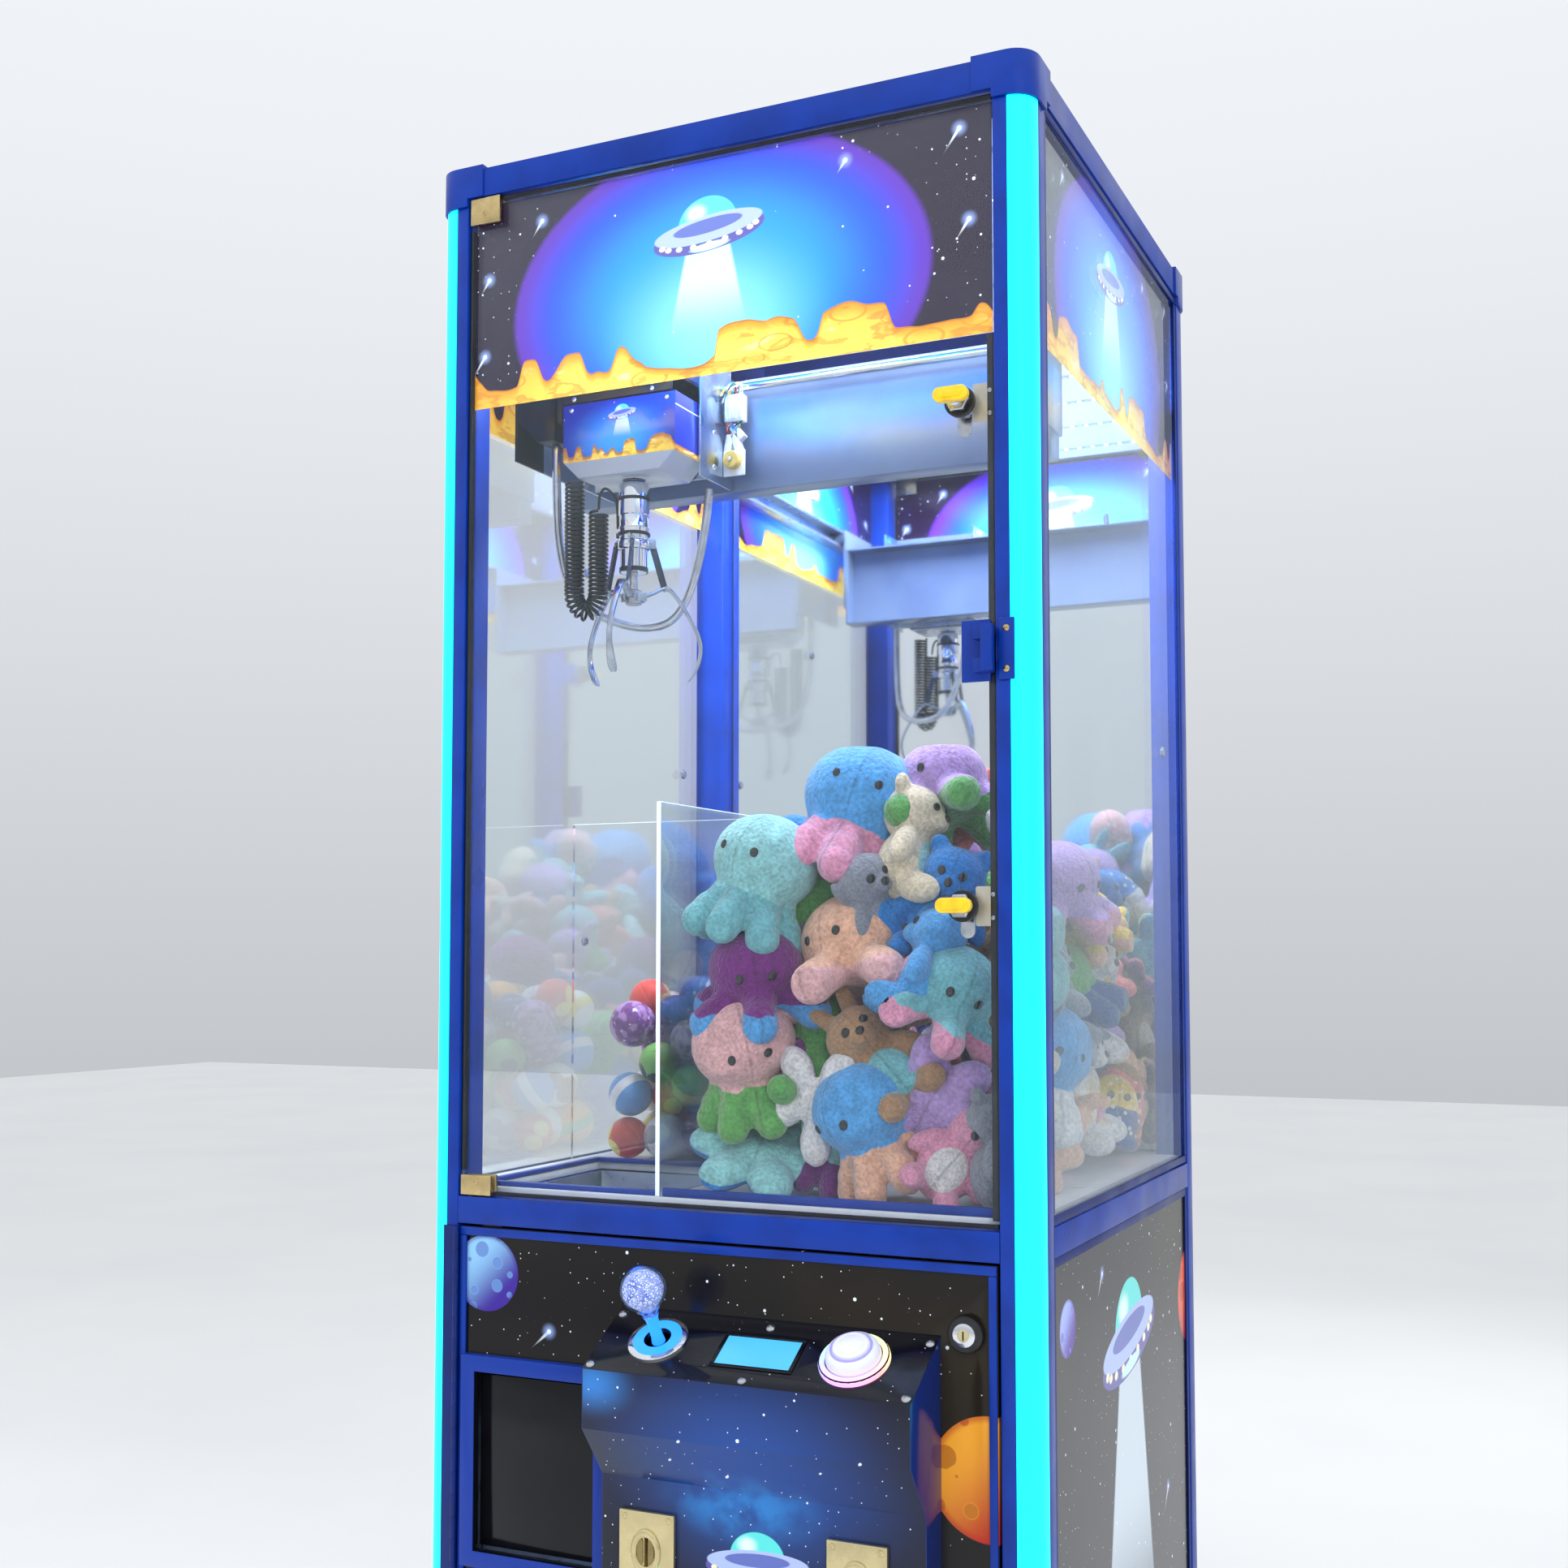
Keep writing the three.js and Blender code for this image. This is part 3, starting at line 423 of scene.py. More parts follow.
# Each finish: colour, roughness, metallic, coat, size and tone of its patches, roughness spread, grain size.
POWDER_BLUE = plain("powder_blue", (0.002, 0.040, 0.36), 0.34, 0.0, 0.06, 60, 0.72, 0.07, 0.7, **MATT)
DEEP_BLUE = plain("deep_blue", (0.002, 0.018, 0.17), 0.4, 0.0, 0.05, 60, 0.7, 0.08, 0.7, **MATT)
CYAN_LIGHT = lit("cyan_light", (0.0, 1.0, 1.0), 1.25)
CEILING_WHITE = lit("ceiling_white", (0.82, 0.90, 1.0), 0.75)
LED_WHITE = lit("led_white", (0.9, 0.96, 1.0), 6.0)
DECK_WHITE = plain("deck_white", (0.80, 0.86, 0.95), 0.35, 0, 0.2, 50, 0.9, 0.08, 1.2)
RUBBER = plain("rubber", (0.012, 0.012, 0.013), 0.7, 0, 0, 14, 0.6, 0.12, 0.8)
BLACK_PLASTIC = plain("black_plastic", (0.015, 0.015, 0.018), 0.38, 0, 0.1, 18, 0.6, 0.1, 0.6)
BLACK_GLOSS = plain("black_gloss", (0.004, 0.004, 0.007), 0.12, 0, 0.1, 40, 0.6, 0.03, 0.0, **MATT)
GREY_STEEL = plain("grey_steel", (0.46, 0.54, 0.64), 0.33, 0.85, 0, 30, 0.82, 0.1)
PANEL_STEEL = plain("panel_steel", (0.42, 0.47, 0.55), 0.45, 0.5, 0, 240, 0.92, 0.06, 1.6)
ZINC = plain("zinc", (0.62, 0.64, 0.68), 0.3, 1.0, 0, 9, 0.72, 0.12)
CHROME = plain("chrome", (0.82, 0.85, 0.9), 0.09, 1.0, 0, 26, 0.93, 0.05)
BRASS = plain("brass", (0.74, 0.56, 0.27), 0.33, 1.0, 0, 16, 0.75, 0.1, 0.4)
GOLD = plain("gold", (0.78, 0.66, 0.36), 0.28, 0.9, 0.1, 22, 0.84, 0.09, 0.5)
DARK_GOLD = plain("dark_gold", (0.36, 0.28, 0.12), 0.4, 0.8, 0, 12, 0.7, 0.1)
BRUSHED = plain("brushed_steel", (0.60, 0.68, 0.80), 0.27, 1.0, 0, 34, 0.78, 0.12, 1.4)
MIRROR = plain("mirror_silver", (0.88, 0.93, 0.97), 0.03, 1.0, 0, 200, 0.97, 0.02)
BRIDGE_GREY = plain("bridge_grey", (0.20, 0.27, 0.42), 0.3, 0.55, 0.2, 90, 0.8, 0.08, 0.9)
WHITE_PLASTIC = plain("white_plastic", (0.82, 0.85, 0.88), 0.4, 0, 0, 10, 0.85, 0.1)
YELLOW_NYLON = plain("yellow_nylon", (0.72, 0.5, 0.12), 0.35, 0, 0, 8, 0.8, 0.08)
# amber plastic with a faint painted glow, though the grip is no lamp
AMBER_GLOW = plain(
    "amber", (0.95, 0.62, 0.0), 0.1, 0, 0.6, 12, 0.75, 0.05,
    **{"Emission Color": (0.8, 0.5, 0.0), "Emission Strength": 0.15},
)
STRIKE_BEIGE = plain("strike_beige", (0.66, 0.6, 0.48), 0.4, 0.4, 0, 14, 0.85, 0.1)
SEAL_BLACK = plain("seal_black", (0.008, 0.009, 0.014), 0.5, 0, 0, 20, 0.6, 0.1, 0.8)
GLASS = glassy("door_and_side_glass", (0.80, 0.93, 0.97), 0.012, 0.38)
ACRYLIC = glassy("guard_acrylic", (0.86, 0.94, 1.0), 0.035, 0.6)
# painted glow on the guard's polished edges, for the light they catch; they are no lamp
ACRYLIC_EDGE_GLOW = lit("acrylic_edge_glow", (0.75, 0.9, 1.0), 0.55, 0.2, (0.8, 0.92, 1.0))
CONDUIT = plain("conduit_silver", (0.62, 0.66, 0.72), 0.2, 0.85, 0.2, 18, 0.8, 0.08)
CORD_BLACK = plain("cord_black", (0.012, 0.012, 0.014), 0.32, 0, 0.25, 6, 0.6, 0.08, 0.6)


# ------------------------------------------------------------------ painted panels
HEADER_FOOT = 1741
HEADER_RISE = 250
COVER_FOOT = 1690


def header_art(name, axis, centre, reach):
    """The sky picture on a header, along x or y, with a painted glow over it."""
    paint = Paint(name, (0.012, 0.003, 0.022), 0.25, 0.0, 0.3)
    sky_scene(paint, getattr(paint, axis), paint.z, HEADER_FOOT, centre, reach, HEADER_RISE)
    # painted glow: the printed film shines in its own colours, though it is no lamp
    return paint.done(glow=0.75)


def cover_art():
    """The sky picture in small, over the grey lower edge of the head's cover, with a faint painted glow."""
    paint = Paint("cover_art", (0.01, 0.02, 0.3), 0.25, 0.0, 0.4)
    paint.layer((0.02, 0.32, 0.95), ramp(distance(paint.x, paint.z, -177, 1715, 84, 52), 1.0, 0.1))
    stars(paint, paint.x, paint.z, 14, 0.9, 0.35)
    saucer(paint, paint.x, paint.z, (-172, 1743), 20, 0.12, 1.5)
    dunes(
        paint, paint.x, paint.z, COVER_FOOT, 12, 34, (0.35, 0.09, 0.02), (1.0, 0.7, 0.08),
        (-172, COVER_FOOT),
    )
    paint.layer((0.30, 0.34, 0.42), ramp(paint.z, COVER_FOOT + 0.6, COVER_FOOT))
    # painted glow: the cover shines faintly in its own colours, though it is no lamp
    return paint.done(glow=0.25)


def night(paint, u, v):
    """Black printed sky with a brownish haze and two sizes of star."""
    paint.layer((0.022, 0.015, 0.006), ramp(paint.noise(260, 2.0), 0.4, 0.75))
    starfield(paint, u, v)


def service_art():
    """Night sky with planets on the service door, its raised rim blue and the sides of its openings
    near-black as painted shade.
    """
    paint = Paint("service_art", (0.006, 0.005, 0.006), 0.22, 0.0, 0.12, **MATT)
    x, z = paint.x, paint.z
    night(paint, x, z)
    planet(paint, x, z, (-289, 727), 43, (0.30, 0.62, 0.95), (0.05, 0.02, 0.32), (0.03, 0.05, 0.42))
    planet(paint, x, z, (316, 566), 63, (1.0, 0.42, 0.03), (0.5, 0.02, 0.01), (0.3, 0.03, 0.0))
    planet(paint, x, z, (-250, 190), 92, (0.25, 0.5, 0.9), (0.08, 0.02, 0.35), (0.04, 0.03, 0.3))
    comet(paint, x, z, (-204, 668), 34, 0.72)
    comet(paint, x, z, (60, 270), 60, 0.8)
    comet(paint, x, z, (230, 180), 44, 0.7)
    proud = ramp(paint.y, 1.9, 1.5)
    paint.layer((0.005, 0.04, 0.34), proud)
    # painted shade: the sides of the outlet opening are made near-black behind the front of its rim
    hole_shade = ramp((x + 219).absolute(), 79.6, 79.0) * ramp((z - 516.5).absolute(), 101.2, 100.6)
    paint.layer((0.004, 0.004, 0.006), hole_shade * ramp(paint.y, -7.5, -6.5))
    return paint.done()


def side_art():
    """Night sky with planets and a saucer on the side panels, with a faint painted glow."""
    paint = Paint("side_art", (0.006, 0.005, 0.008), 0.22, 0.0, 0.12, **MATT)
    y, z = paint.y, paint.z
    night(paint, y, z)
    planet(paint, y, z, (690, 640), 62, (0.85, 0.12, 0.03), (0.25, 0.0, 0.02), (0.3, 0.01, 0.0))
    planet(paint, y, z, (110, 700), 30, (0.35, 0.45, 0.95), (0.08, 0.02, 0.35), (0.06, 0.03, 0.4))
    comet(paint, y, z, (250, 735), 40, 0.9)
    comet(paint, y, z, (560, 420), 46, 0.9)
    planet(paint, y, z, (180, 190), 74, (0.95, 0.5, 0.1), (0.4, 0.05, 0.02), (0.35, 0.06, 0.0))
    saucer(paint, y, z, (372, 640), 124, 0.14, 3.4)
    # painted glow: the side panels shine faintly in their own colours, though they are no lamp
    return paint.done(glow=0.12)


# The console's sloping top: SLOPE places what is drawn flat, with its rear edge along x, on it.
CONSOLE_TILT = math.atan2(47, 81)
SLOPE_REAR = (-4, 702)
SLOPE_MIDDLE = -43
SLOPE = Matrix.Translation((0, *SLOPE_REAR)) @ Matrix.Rotation(CONSOLE_TILT, 4, "X")
CONSOLE_X = 78
BUTTON_X = 187
STICK_X = -39.5


def along_slope(paint):
    """How far a point is up the slope from its rear edge."""
    return (paint.y - SLOPE_REAR[0]) / math.cos(CONSOLE_TILT)


def above_slope(paint):
    """Height over the slope."""
    y, z = SLOPE_REAR
    return (paint.z - z) * math.cos(CONSOLE_TILT) - (paint.y - y) * math.sin(CONSOLE_TILT)


def console_art():
    """Blue haze and a saucer on the console, with blue sides, a black top and a faint painted glow."""
    paint = Paint("console_art", (0.006, 0.007, 0.02), 0.14, 0.0, 0.3, **MATT)
    x, z = paint.x, paint.z
    paint.layer((0.01, 0.06, 0.30), ramp(distance(x, z, CONSOLE_X, 560, 210, 150), 1.05, 0.1))
    paint.layer(
        (0.02, 0.22, 0.62),
        ramp(distance(x, z, 60, 520, 110, 46), 1.0, 0.05) * ramp(paint.noise(40, 4.0), 0.3, 0.62),
    )
    paint.layer((0.03, 0.20, 0.60), ramp(distance(x, z, -95, 640, 60, 40), 1.0, 0.0))
    starfield(paint, x + paint.y * 0.9, z)
    saucer(paint, x, z, (CONSOLE_X, 462), 60, 0.05, 1.6)
    paint.layer((0.006, 0.018, 0.12), ramp((x - CONSOLE_X).absolute(), 184.5, 185.5))
    top = ramp(above_slope(paint), -0.8, -0.3)
    paint.layer((0.004, 0.004, 0.008), top)
    far, pick = paint.cells(x, along_slope(paint), 15)
    speck = ramp(ramp(pick, 0.6, 1.0, 0.0, 0.06) - far, 0.0, 0.03)
    paint.layer(STARLIGHT, top * speck)
    # painted glow: the console shines faintly in its own colours, though it is no lamp
    return paint.done(glow=0.08)


FRONT_HEADER = header_art("front_header_art", "x", -5, 262)
SIDE_HEADER = header_art("side_header_art", "y", 364, 250)
COVER_ART = cover_art()
SERVICE_ART = service_art()
SIDE_ART = side_art()
CONSOLE_ART = console_art()


# ------------------------------------------------------------------ shapes
def curve(points, per_span=8):
    """Points along a smooth curve that passes through the given ones."""
    knots = [Vector(p) for p in points]
    knots = [2 * knots[0] - knots[1], *knots, 2 * knots[-1] - knots[-2]]
    line = []
    for a, b, c, d in zip(knots, knots[1:], knots[2:], knots[3:]):
        for step in range(per_span):
            t = step / per_span
            line.append(
                0.5 * (
                    2 * b + (c - a) * t + (
                        2 * a - 5 * b + 4 * c - d
                    ) * t**2 + (3 * b - a - 3 * c + d) * t**3
                )
            )
    return [*line, knots[-2]]


def frames_along(line, up=UP):
    """At each point of a line, its place and two directions square to it that don't twist."""
    tangents = []
    for i in range(len(line)):
        ahead, behind = line[min(i + 1, len(line) - 1)], line[max(i - 1, 0)]
        tangents.append((ahead - behind).normalized())
    side = tangents[0].cross(Vector(up))
    if side.length < 0.05:
        side = tangents[0].cross(Vector(BACK))
    side.normalize()
    found = []
    for place, tangent in zip(line, tangents):
        side = (side - tangent * side.dot(tangent)).normalized()
        found.append((place, side, tangent.cross(side)))
    return found


def mesh_of(shape, name):
    """A new mesh from a bmesh, which is freed."""
    mesh = bpy.data.meshes.new(name)
    shape.to_mesh(mesh)
    shape.free()
    return mesh


def smoothed(mesh, sharp):
    """Smooth shading, with edges over an angle in degrees kept sharp."""
    mesh.shade_smooth()
    mesh.set_sharp_from_angle(angle=math.radians(sharp))
    return mesh


def linked(name, mesh):
    """A new object in the scene."""
    thing = bpy.data.objects.new(name, mesh)
    bpy.context.scene.collection.objects.link(thing)
    return thing


def bevelled(part, sharp, width, steps):
    """Rounds a bmesh's edges."""
    bmesh.ops.bevel(
        part, geom=sharp, offset=width, segments=steps, profile=0.5, affect="EDGES", clamp_overlap=True,
    )


def corners_over(part, angle):
    """The edges whose two faces turn by more than an angle in radians."""
    return [e for e in part.edges if len(e.link_faces) == 2 and e.calc_face_angle(0) > angle]


class Shape:
    """A mesh drawn in cabinet millimetres, from parts that may each have their own material."""

    def __init__(self, *materials):
        self.mesh = bmesh.new()
        self.materials = materials
        self.slot = 0

    def use(self, slot):
        self.slot = slot
        return self

    def take(self, part, edge=0.0, steps=2):
        bmesh.ops.recalc_face_normals(part, faces=part.faces)
        if edge:
            bevelled(part, corners_over(part, 0.5), edge, steps)
        for face in part.faces:
            face.material_index = self.slot
        holder = mesh_of(part, "part")
        self.mesh.from_mesh(holder)
        bpy.data.meshes.remove(holder)
        return self

    def box(self, x0, x1, y0, y1, z0, z1, edge=0.8):
        part = bmesh.new()
        bmesh.ops.create_cube(part, size=1)
        middle = Matrix.Translation(((x0 + x1) / 2, (y0 + y1) / 2, (z0 + z1) / 2))
        part.transform(middle @ Matrix.Diagonal((x1 - x0, y1 - y0, z1 - z0, 1)))
        return self.take(part, edge)

    def boxes(self, *rows):
        for row in rows:
            self.box(*row)
        return self

    def prism(self, outline, axis, low, high, edge=0.6):
        """An outline in the plane square to an axis, given depth along it."""
        place = {
            "x": lambda u, v, w: (w, u, v), "y": lambda u, v, w: (u, w, v), "z": lambda u, v, w: (u, v, w),
        }[axis]
        part = bmesh.new()
        rings = [[part.verts.new(place(u, v, w)) for u, v in outline] for w in (low, high)]
        for i in range(len(outline)):
            j = (i + 1) % len(outline)
            part.faces.new((rings[0][i], rings[0][j], rings[1][j], rings[1][i]))
        for ring in rings:
            part.faces.new(ring)
        return self.take(part, edge)

    def turned(self, profile, origin=(0, 0, 0), axis=UP, steps=40, closed=False):
        """A profile of (radius, height) points turned about an axis."""
        part = bmesh.new()
        rings = []
        for radius, height in profile:
            count = steps if radius > 1e-6 else 1
            angles = [2 * math.pi * i / count for i in range(count)]
            rings.append(
                [part.verts.new((radius * math.cos(a), radius * math.sin(a), height)) for a in angles]
            )
        pairs = list(zip(rings, rings[1:])) + ([(rings[-1], rings[0])] if closed else [])
        for lower, upper in pairs:
            for i in range(steps):
                j = (i + 1) % steps
                corners = [
                    lower[i % len(lower)], lower[j % len(lower)], upper[j % len(upper)],
                    upper[i % len(upper)],
                ]
                corners = list(dict.fromkeys(corners))
                if len(corners) > 2:
                    part.faces.new(corners)
        turn = Vector(UP).rotation_difference(Vector(axis)).to_matrix().to_4x4()
        part.transform(Matrix.Translation(origin) @ turn)
        return self.take(part)

    def swept(self, line, section, up=UP):
        """A closed section, a list of (side, up) points or a function of 0 to 1, along a line."""
        part = bmesh.new()
        rings = []
        for i, (place, side, rise) in enumerate(frames_along(line, up)):
            outline = section(i / (len(line) - 1)) if callable(section) else section
            rings.append([part.verts.new(place + side * u + rise * v) for u, v in outline])
        for lower, upper in zip(rings, rings[1:]):
            for i in range(len(lower)):
                j = (i + 1) % len(lower)
                part.faces.new((lower[i], lower[j], upper[j], upper[i]))
        part.faces.new(rings[0])
        part.faces.new(rings[-1])
        return self.take(part)

    def tube(self, line, radius, sides=12):
        return self.swept([Vector(p) for p in line], circle(radius, sides))

    def piece(self, name, body, slot, replaces=(), place=None, sharp=38):
        """Makes the object, in metres, and hangs it on its body."""
        if place is not None:
            self.mesh.transform(place)
        self.mesh.transform(CABINET)
        mesh = mesh_of(self.mesh, name)
        for material in self.materials:
            mesh.materials.append(material)
        thing = linked(name, smoothed(mesh, sharp))
        if body:
            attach(thing, body)
        if replaces:
            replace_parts(thing, *replaces)
        return thing


def circle(radius, sides=16):
    return [
        (radius * math.cos(2 * math.pi * i / sides), radius * math.sin(2 * math.pi * i / sides))
        for i in range(sides)
    ]


def round_box(half_u, half_v, corner, steps=5):
    """A rectangle with round corners, about (0, 0)."""
    points = []
    for turn, (su, sv) in enumerate(((1, 1), (-1, 1), (-1, -1), (1, -1))):
        for step in range(steps + 1):
            angle = math.pi / 2 * (turn + step / steps)
            points.append(
                (
                    su * (half_u - corner) + corner * math.cos(angle),
                    sv * (half_v - corner) + corner * math.sin(angle),
                )
            )
    return points


def moved(outline, du, dv):
    return [(u + du, v + dv) for u, v in outline]


def dome_screw(shape, origin, axis, radius=4.0, height=2.0):
    """A round screw head with a cross recess."""
    arc = [(radius * math.cos(a), height * math.sin(a)) for a in (0, 0.4, 0.8, 1.15)]
    shape.turned(
        [
            (radius, -0.3), *arc, (radius * 0.28, height * 0.95), (radius * 0.2, height * 0.55),
            (0, height * 0.5),
        ],
        origin, axis, 20,
    )


def rounded(node, material, width=0.8, steps=2):
    """A CAD node's own shape with its hard edges rounded, shown in its place."""
    source = frame["nodes"][node]
    part = bmesh.new()
    part.from_mesh(source.data)
    bmesh.ops.remove_doubles(part, verts=part.verts, dist=1e-5)
    bmesh.ops.dissolve_limit(part, angle_limit=0.02, verts=part.verts, edges=part.edges)
    bevelled(part, corners_over(part, 0.6), width * MM, steps)
    bmesh.ops.triangulate(part, faces=[f for f in part.faces if len(f.verts) > 4])
    mesh = mesh_of(part, node + "_finish")
    mesh.materials.append(material)
    thing = linked(mesh.name, smoothed(mesh, 40))
    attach(thing, source["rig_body"])
    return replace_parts(thing, node)


def finish_node(node, material):
    """Gives a CAD node that stays its final material."""
    thing = frame["nodes"][node]
    for slot in thing.material_slots:
        slot.material = material


# ------------------------------------------------------------------ cords
def helix(line, radius, turns, per_turn=14):
    """A coil round a line."""
    count = turns * per_turn
    fine = frames_along(line)
    lengths = [0.0]
    for (a, _, _), (b, _, _) in zip(fine, fine[1:]):
        lengths.append(lengths[-1] + (b - a).length)
    points = []
    i = 0
    for step in range(count + 1):
        want = lengths[-1] * step / count
        while i < len(lengths) - 2 and lengths[i + 1] < want:
            i += 1
        share = (want - lengths[i]) / (lengths[i + 1] - lengths[i])
        place = fine[i][0].lerp(fine[i + 1][0], share)
        side = fine[i][1].lerp(fine[i + 1][1], share).normalized()
        rise = fine[i][2].lerp(fine[i + 1][2], share).normalized()
        angle = 2 * math.pi * step / per_turn
        points.append(place + (side * math.cos(angle) + rise * math.sin(angle)) * radius)
    return points


def cord(name, line, radius, material, slot, sides=8):
    thing = Shape(material).tube(line, radius, sides).piece(name, None, slot)
    return thing


# Where the claw and the two strands of its curly cord hang: x and y.
CLAW = (-177, 138)
COIL_RADIUS = 10.8
COIL_WIRE = 1.85
COIL_LEFT = (-241, 105)
COIL_RIGHT = (-215, 118)
CONDUIT_RADIUS = 5.4
HOIST_RADIUS = 1.3
coil_down = curve([(*COIL_LEFT, z) for z in (1666, 1640, 1600, 1560, 1536)])
coil_up = curve([
    (*COIL_LEFT, 1536), (-240, 105.5, 1522), (-235, 108, 1512), (-228, 111.5, 1508), (-221, 115, 1512),
    (-216, 117.5, 1522), *((*COIL_RIGHT, z) for z in (1536, 1565, 1600, 1630)),
])
down_path = helix(coil_down, COIL_RADIUS, 25)
up_path = helix(coil_up, COIL_RADIUS, 31)
up_path[0] = down_path[-1]
coil_upper = cord("curly_cord_fall", down_path, COIL_WIRE, CORD_BLACK, "cord_black")
coil_lower = cord("curly_cord_rise", up_path, COIL_WIRE, CORD_BLACK, "cord_black")
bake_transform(coil_upper)
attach(coil_lower, "claw")
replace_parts(coil_lower, "coil_cord")

conduit_line = curve([
    (-280, 125, 1721), (-280, 126, 1660), (-278, 130, 1600), (-270, 142, 1550), (-252, 165, 1521),
    (-225, 190, 1506), (-196, 208, 1502), (-168, 214, 1509), (-145, 215, 1535), (-128, 214, 1580),
    (-117, 213, 1630), (-112, 212, 1670),
], 4)
conduit = cord("conduit_loop", conduit_line, CONDUIT_RADIUS, CONDUIT, "conduit_grey", 14)
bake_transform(conduit)
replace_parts(conduit, "trolley_cable")

hoist_path = [(*CLAW, 1724 - 2.75 * i) for i in range(20)]
hoist_line = cord("hoist_line", hoist_path, HOIST_RADIUS, CORD_BLACK, "cord_black", 10)
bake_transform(hoist_line)


# ------------------------------------------------------------------ frame and panels
CORNERS = ("front_left", "front_right", "rear_left", "rear_right")
for node in ("base_frame", "mid_frame", "top_frame", *(f"corner_post_{c}" for c in CORNERS)):
    rounded(node, POWDER_BLUE, 1.2)
for node in ("roof_panel", "catch_bracket", "door_pull"):
    rounded(node, POWDER_BLUE, 1.0)
for node in ("left_rail", "right_rail", "prize_chute"):
    rounded(node, GREY_STEEL, 0.5)
rounded("rear_panel", PANEL_STEEL, 0.3)
rounded("service_hinge", DEEP_BLUE, 0.4)
for c in CORNERS:
    rounded(f"leveling_foot_{c}", RUBBER, 0.8)
for node in ("left_side_panel", "right_side_panel"):
    finish_node(node, SIDE_ART)
for node in ("left_glass", "right_glass", "door_glass"):
    finish_node(node, GLASS)
for node in ("light_strip_front_left", "light_strip_front_right"):
    finish_node(node, CYAN_LIGHT)
for node in ("top_clamp", "bottom_clamp"):
    rounded(node, BRASS, 0.9)
finish_node("ceiling_light", CEILING_WHITE)
finish_node("rear_mirror", MIRROR)
finish_node("chute_guard", ACRYLIC)
rounded("play_deck", DECK_WHITE, 0.8)
rounded("power_inlet", BLACK_PLASTIC, 0.8)


SIDES = (("left", -1), ("right", 1))
# lowest and highest y, then z, of the strips round a side panel and a side glass
SIDE_STRIPS = (
    (52, 676, 771, 781), (52, 676, 97, 107), (52, 60, 107.3, 770.7), (668, 676, 107.3, 770.7),
    (52, 676, 815, 824), (52, 676, 1985, 1993), (52, 59, 824.3, 1984.7), (669, 676, 824.3, 1984.7),
)
GUARD_TOP = 1263.6
CEILING = 1984
LED_ROWS = (110, 240, 370, 500, 620)


def header_panels():
    """Printed film behind the top of the door and side glass."""
    Shape(FRONT_HEADER).box(-324.5, 324.5, 10.15, 10.75, HEADER_FOOT, 1987.5, 0.1) \
        .piece("front_header_film", "glass_door", "cover_art")
    for name, side in SIDES:
        x0, x1 = sorted((side * 360.2, side * 360.8))
        Shape(SIDE_HEADER).box(x0, x1, 52.5, 675.5, HEADER_FOOT, 1993.5, 0.1) \
            .piece(f"{name}_header_film", "cabinet", "cover_art")


def edgings():
    """Blue aluminium strips round the side panels and the service door, and black seals on the glass door."""
    for name, side in SIDES:
        x0, x1 = sorted((side * 366.1, side * 368.6))
        Shape(DEEP_BLUE).boxes(*((x0, x1, *strip, 0.7) for strip in SIDE_STRIPS)) \
            .piece(f"{name}_edging", "cabinet", "roof_blue")
    Shape(POWDER_BLUE).boxes(
        (-323.5, 324.5, -1.2, 1.9, 769, 778.5, 0.8), (-323.5, 324.5, -1.2, 1.9, 98.5, 108, 0.8),
        (-323.5, -315, -1.2, 1.9, 108.4, 768.6, 0.8), (316, 324.5, -1.2, 1.9, 108.4, 768.6, 0.8),
    ).piece("service_door_edging", "console_door", "door_art")
    Shape(SEAL_BLACK).boxes(
        (317, 327, 10.8, 13.5, 822, 1740, 1.0), (-327, -322.6, 4.2, 13.0, 842, 1958, 1.0),
        (-282, 326, 3.6, 10.4, 1988.2, 1993.5, 0.9), (-282, 326, 3.6, 10.4, 815.5, 819.7, 0.9),
    ).piece("door_seals", "glass_door", "flap_black")


def guard_edges():
    """The polished edges of the clear guard, given a painted glow for the light they catch, and the blue rim
    of the chute.
    """
    Shape(ACRYLIC_EDGE_GLOW).boxes(
        (-79, -74, 22, 300, GUARD_TOP + 0.1, GUARD_TOP + 1.0, 0.2),
        (-357, -79.3, 295, 300, GUARD_TOP + 0.1, GUARD_TOP + 1.0, 0.2),
        (-79, -74, 21, 21.9, 824, GUARD_TOP, 0.2),
    ).piece("guard_edges", "cabinet", "acrylic_clear")
    Shape(POWDER_BLUE).boxes(
        (-318, -80.5, 26, 36, 823.5, 829, 1.0), (-318, -309, 36.3, 293, 823.5, 829, 1.0),
        (-308.7, -80.5, 285, 293.5, 823.5, 829, 1.0),
    ).piece("chute_rim", "cabinet", "frame_blue")
    Shape(POWDER_BLUE).box(-72, 324, 24, 30, 823.5, 833, 1.2).piece("deck_front_lip", "cabinet", "frame_blue")


def ceiling_leds():
    """Rows of small domed lamps on white strips."""
    lamp = [(3.2, 0.2), (3.0, -0.8), (1.6, -1.3), (0, -1.4)]
    leds = Shape(LED_WHITE)
    strips = Shape(WHITE_PLASTIC)
    for row in LED_ROWS:
        strips.box(-314, 314, row - 7, row + 7, CEILING - 0.05, CEILING + 0.5, 0.1)
        for step in range(26):
            leds.turned(lamp, (-300 + 24 * step, row, CEILING - 0.2), UP, 8)
    leds.piece("ceiling_leds", "cabinet", "ceiling_white")
    strips.piece("led_strips", "cabinet", "ceiling_white")


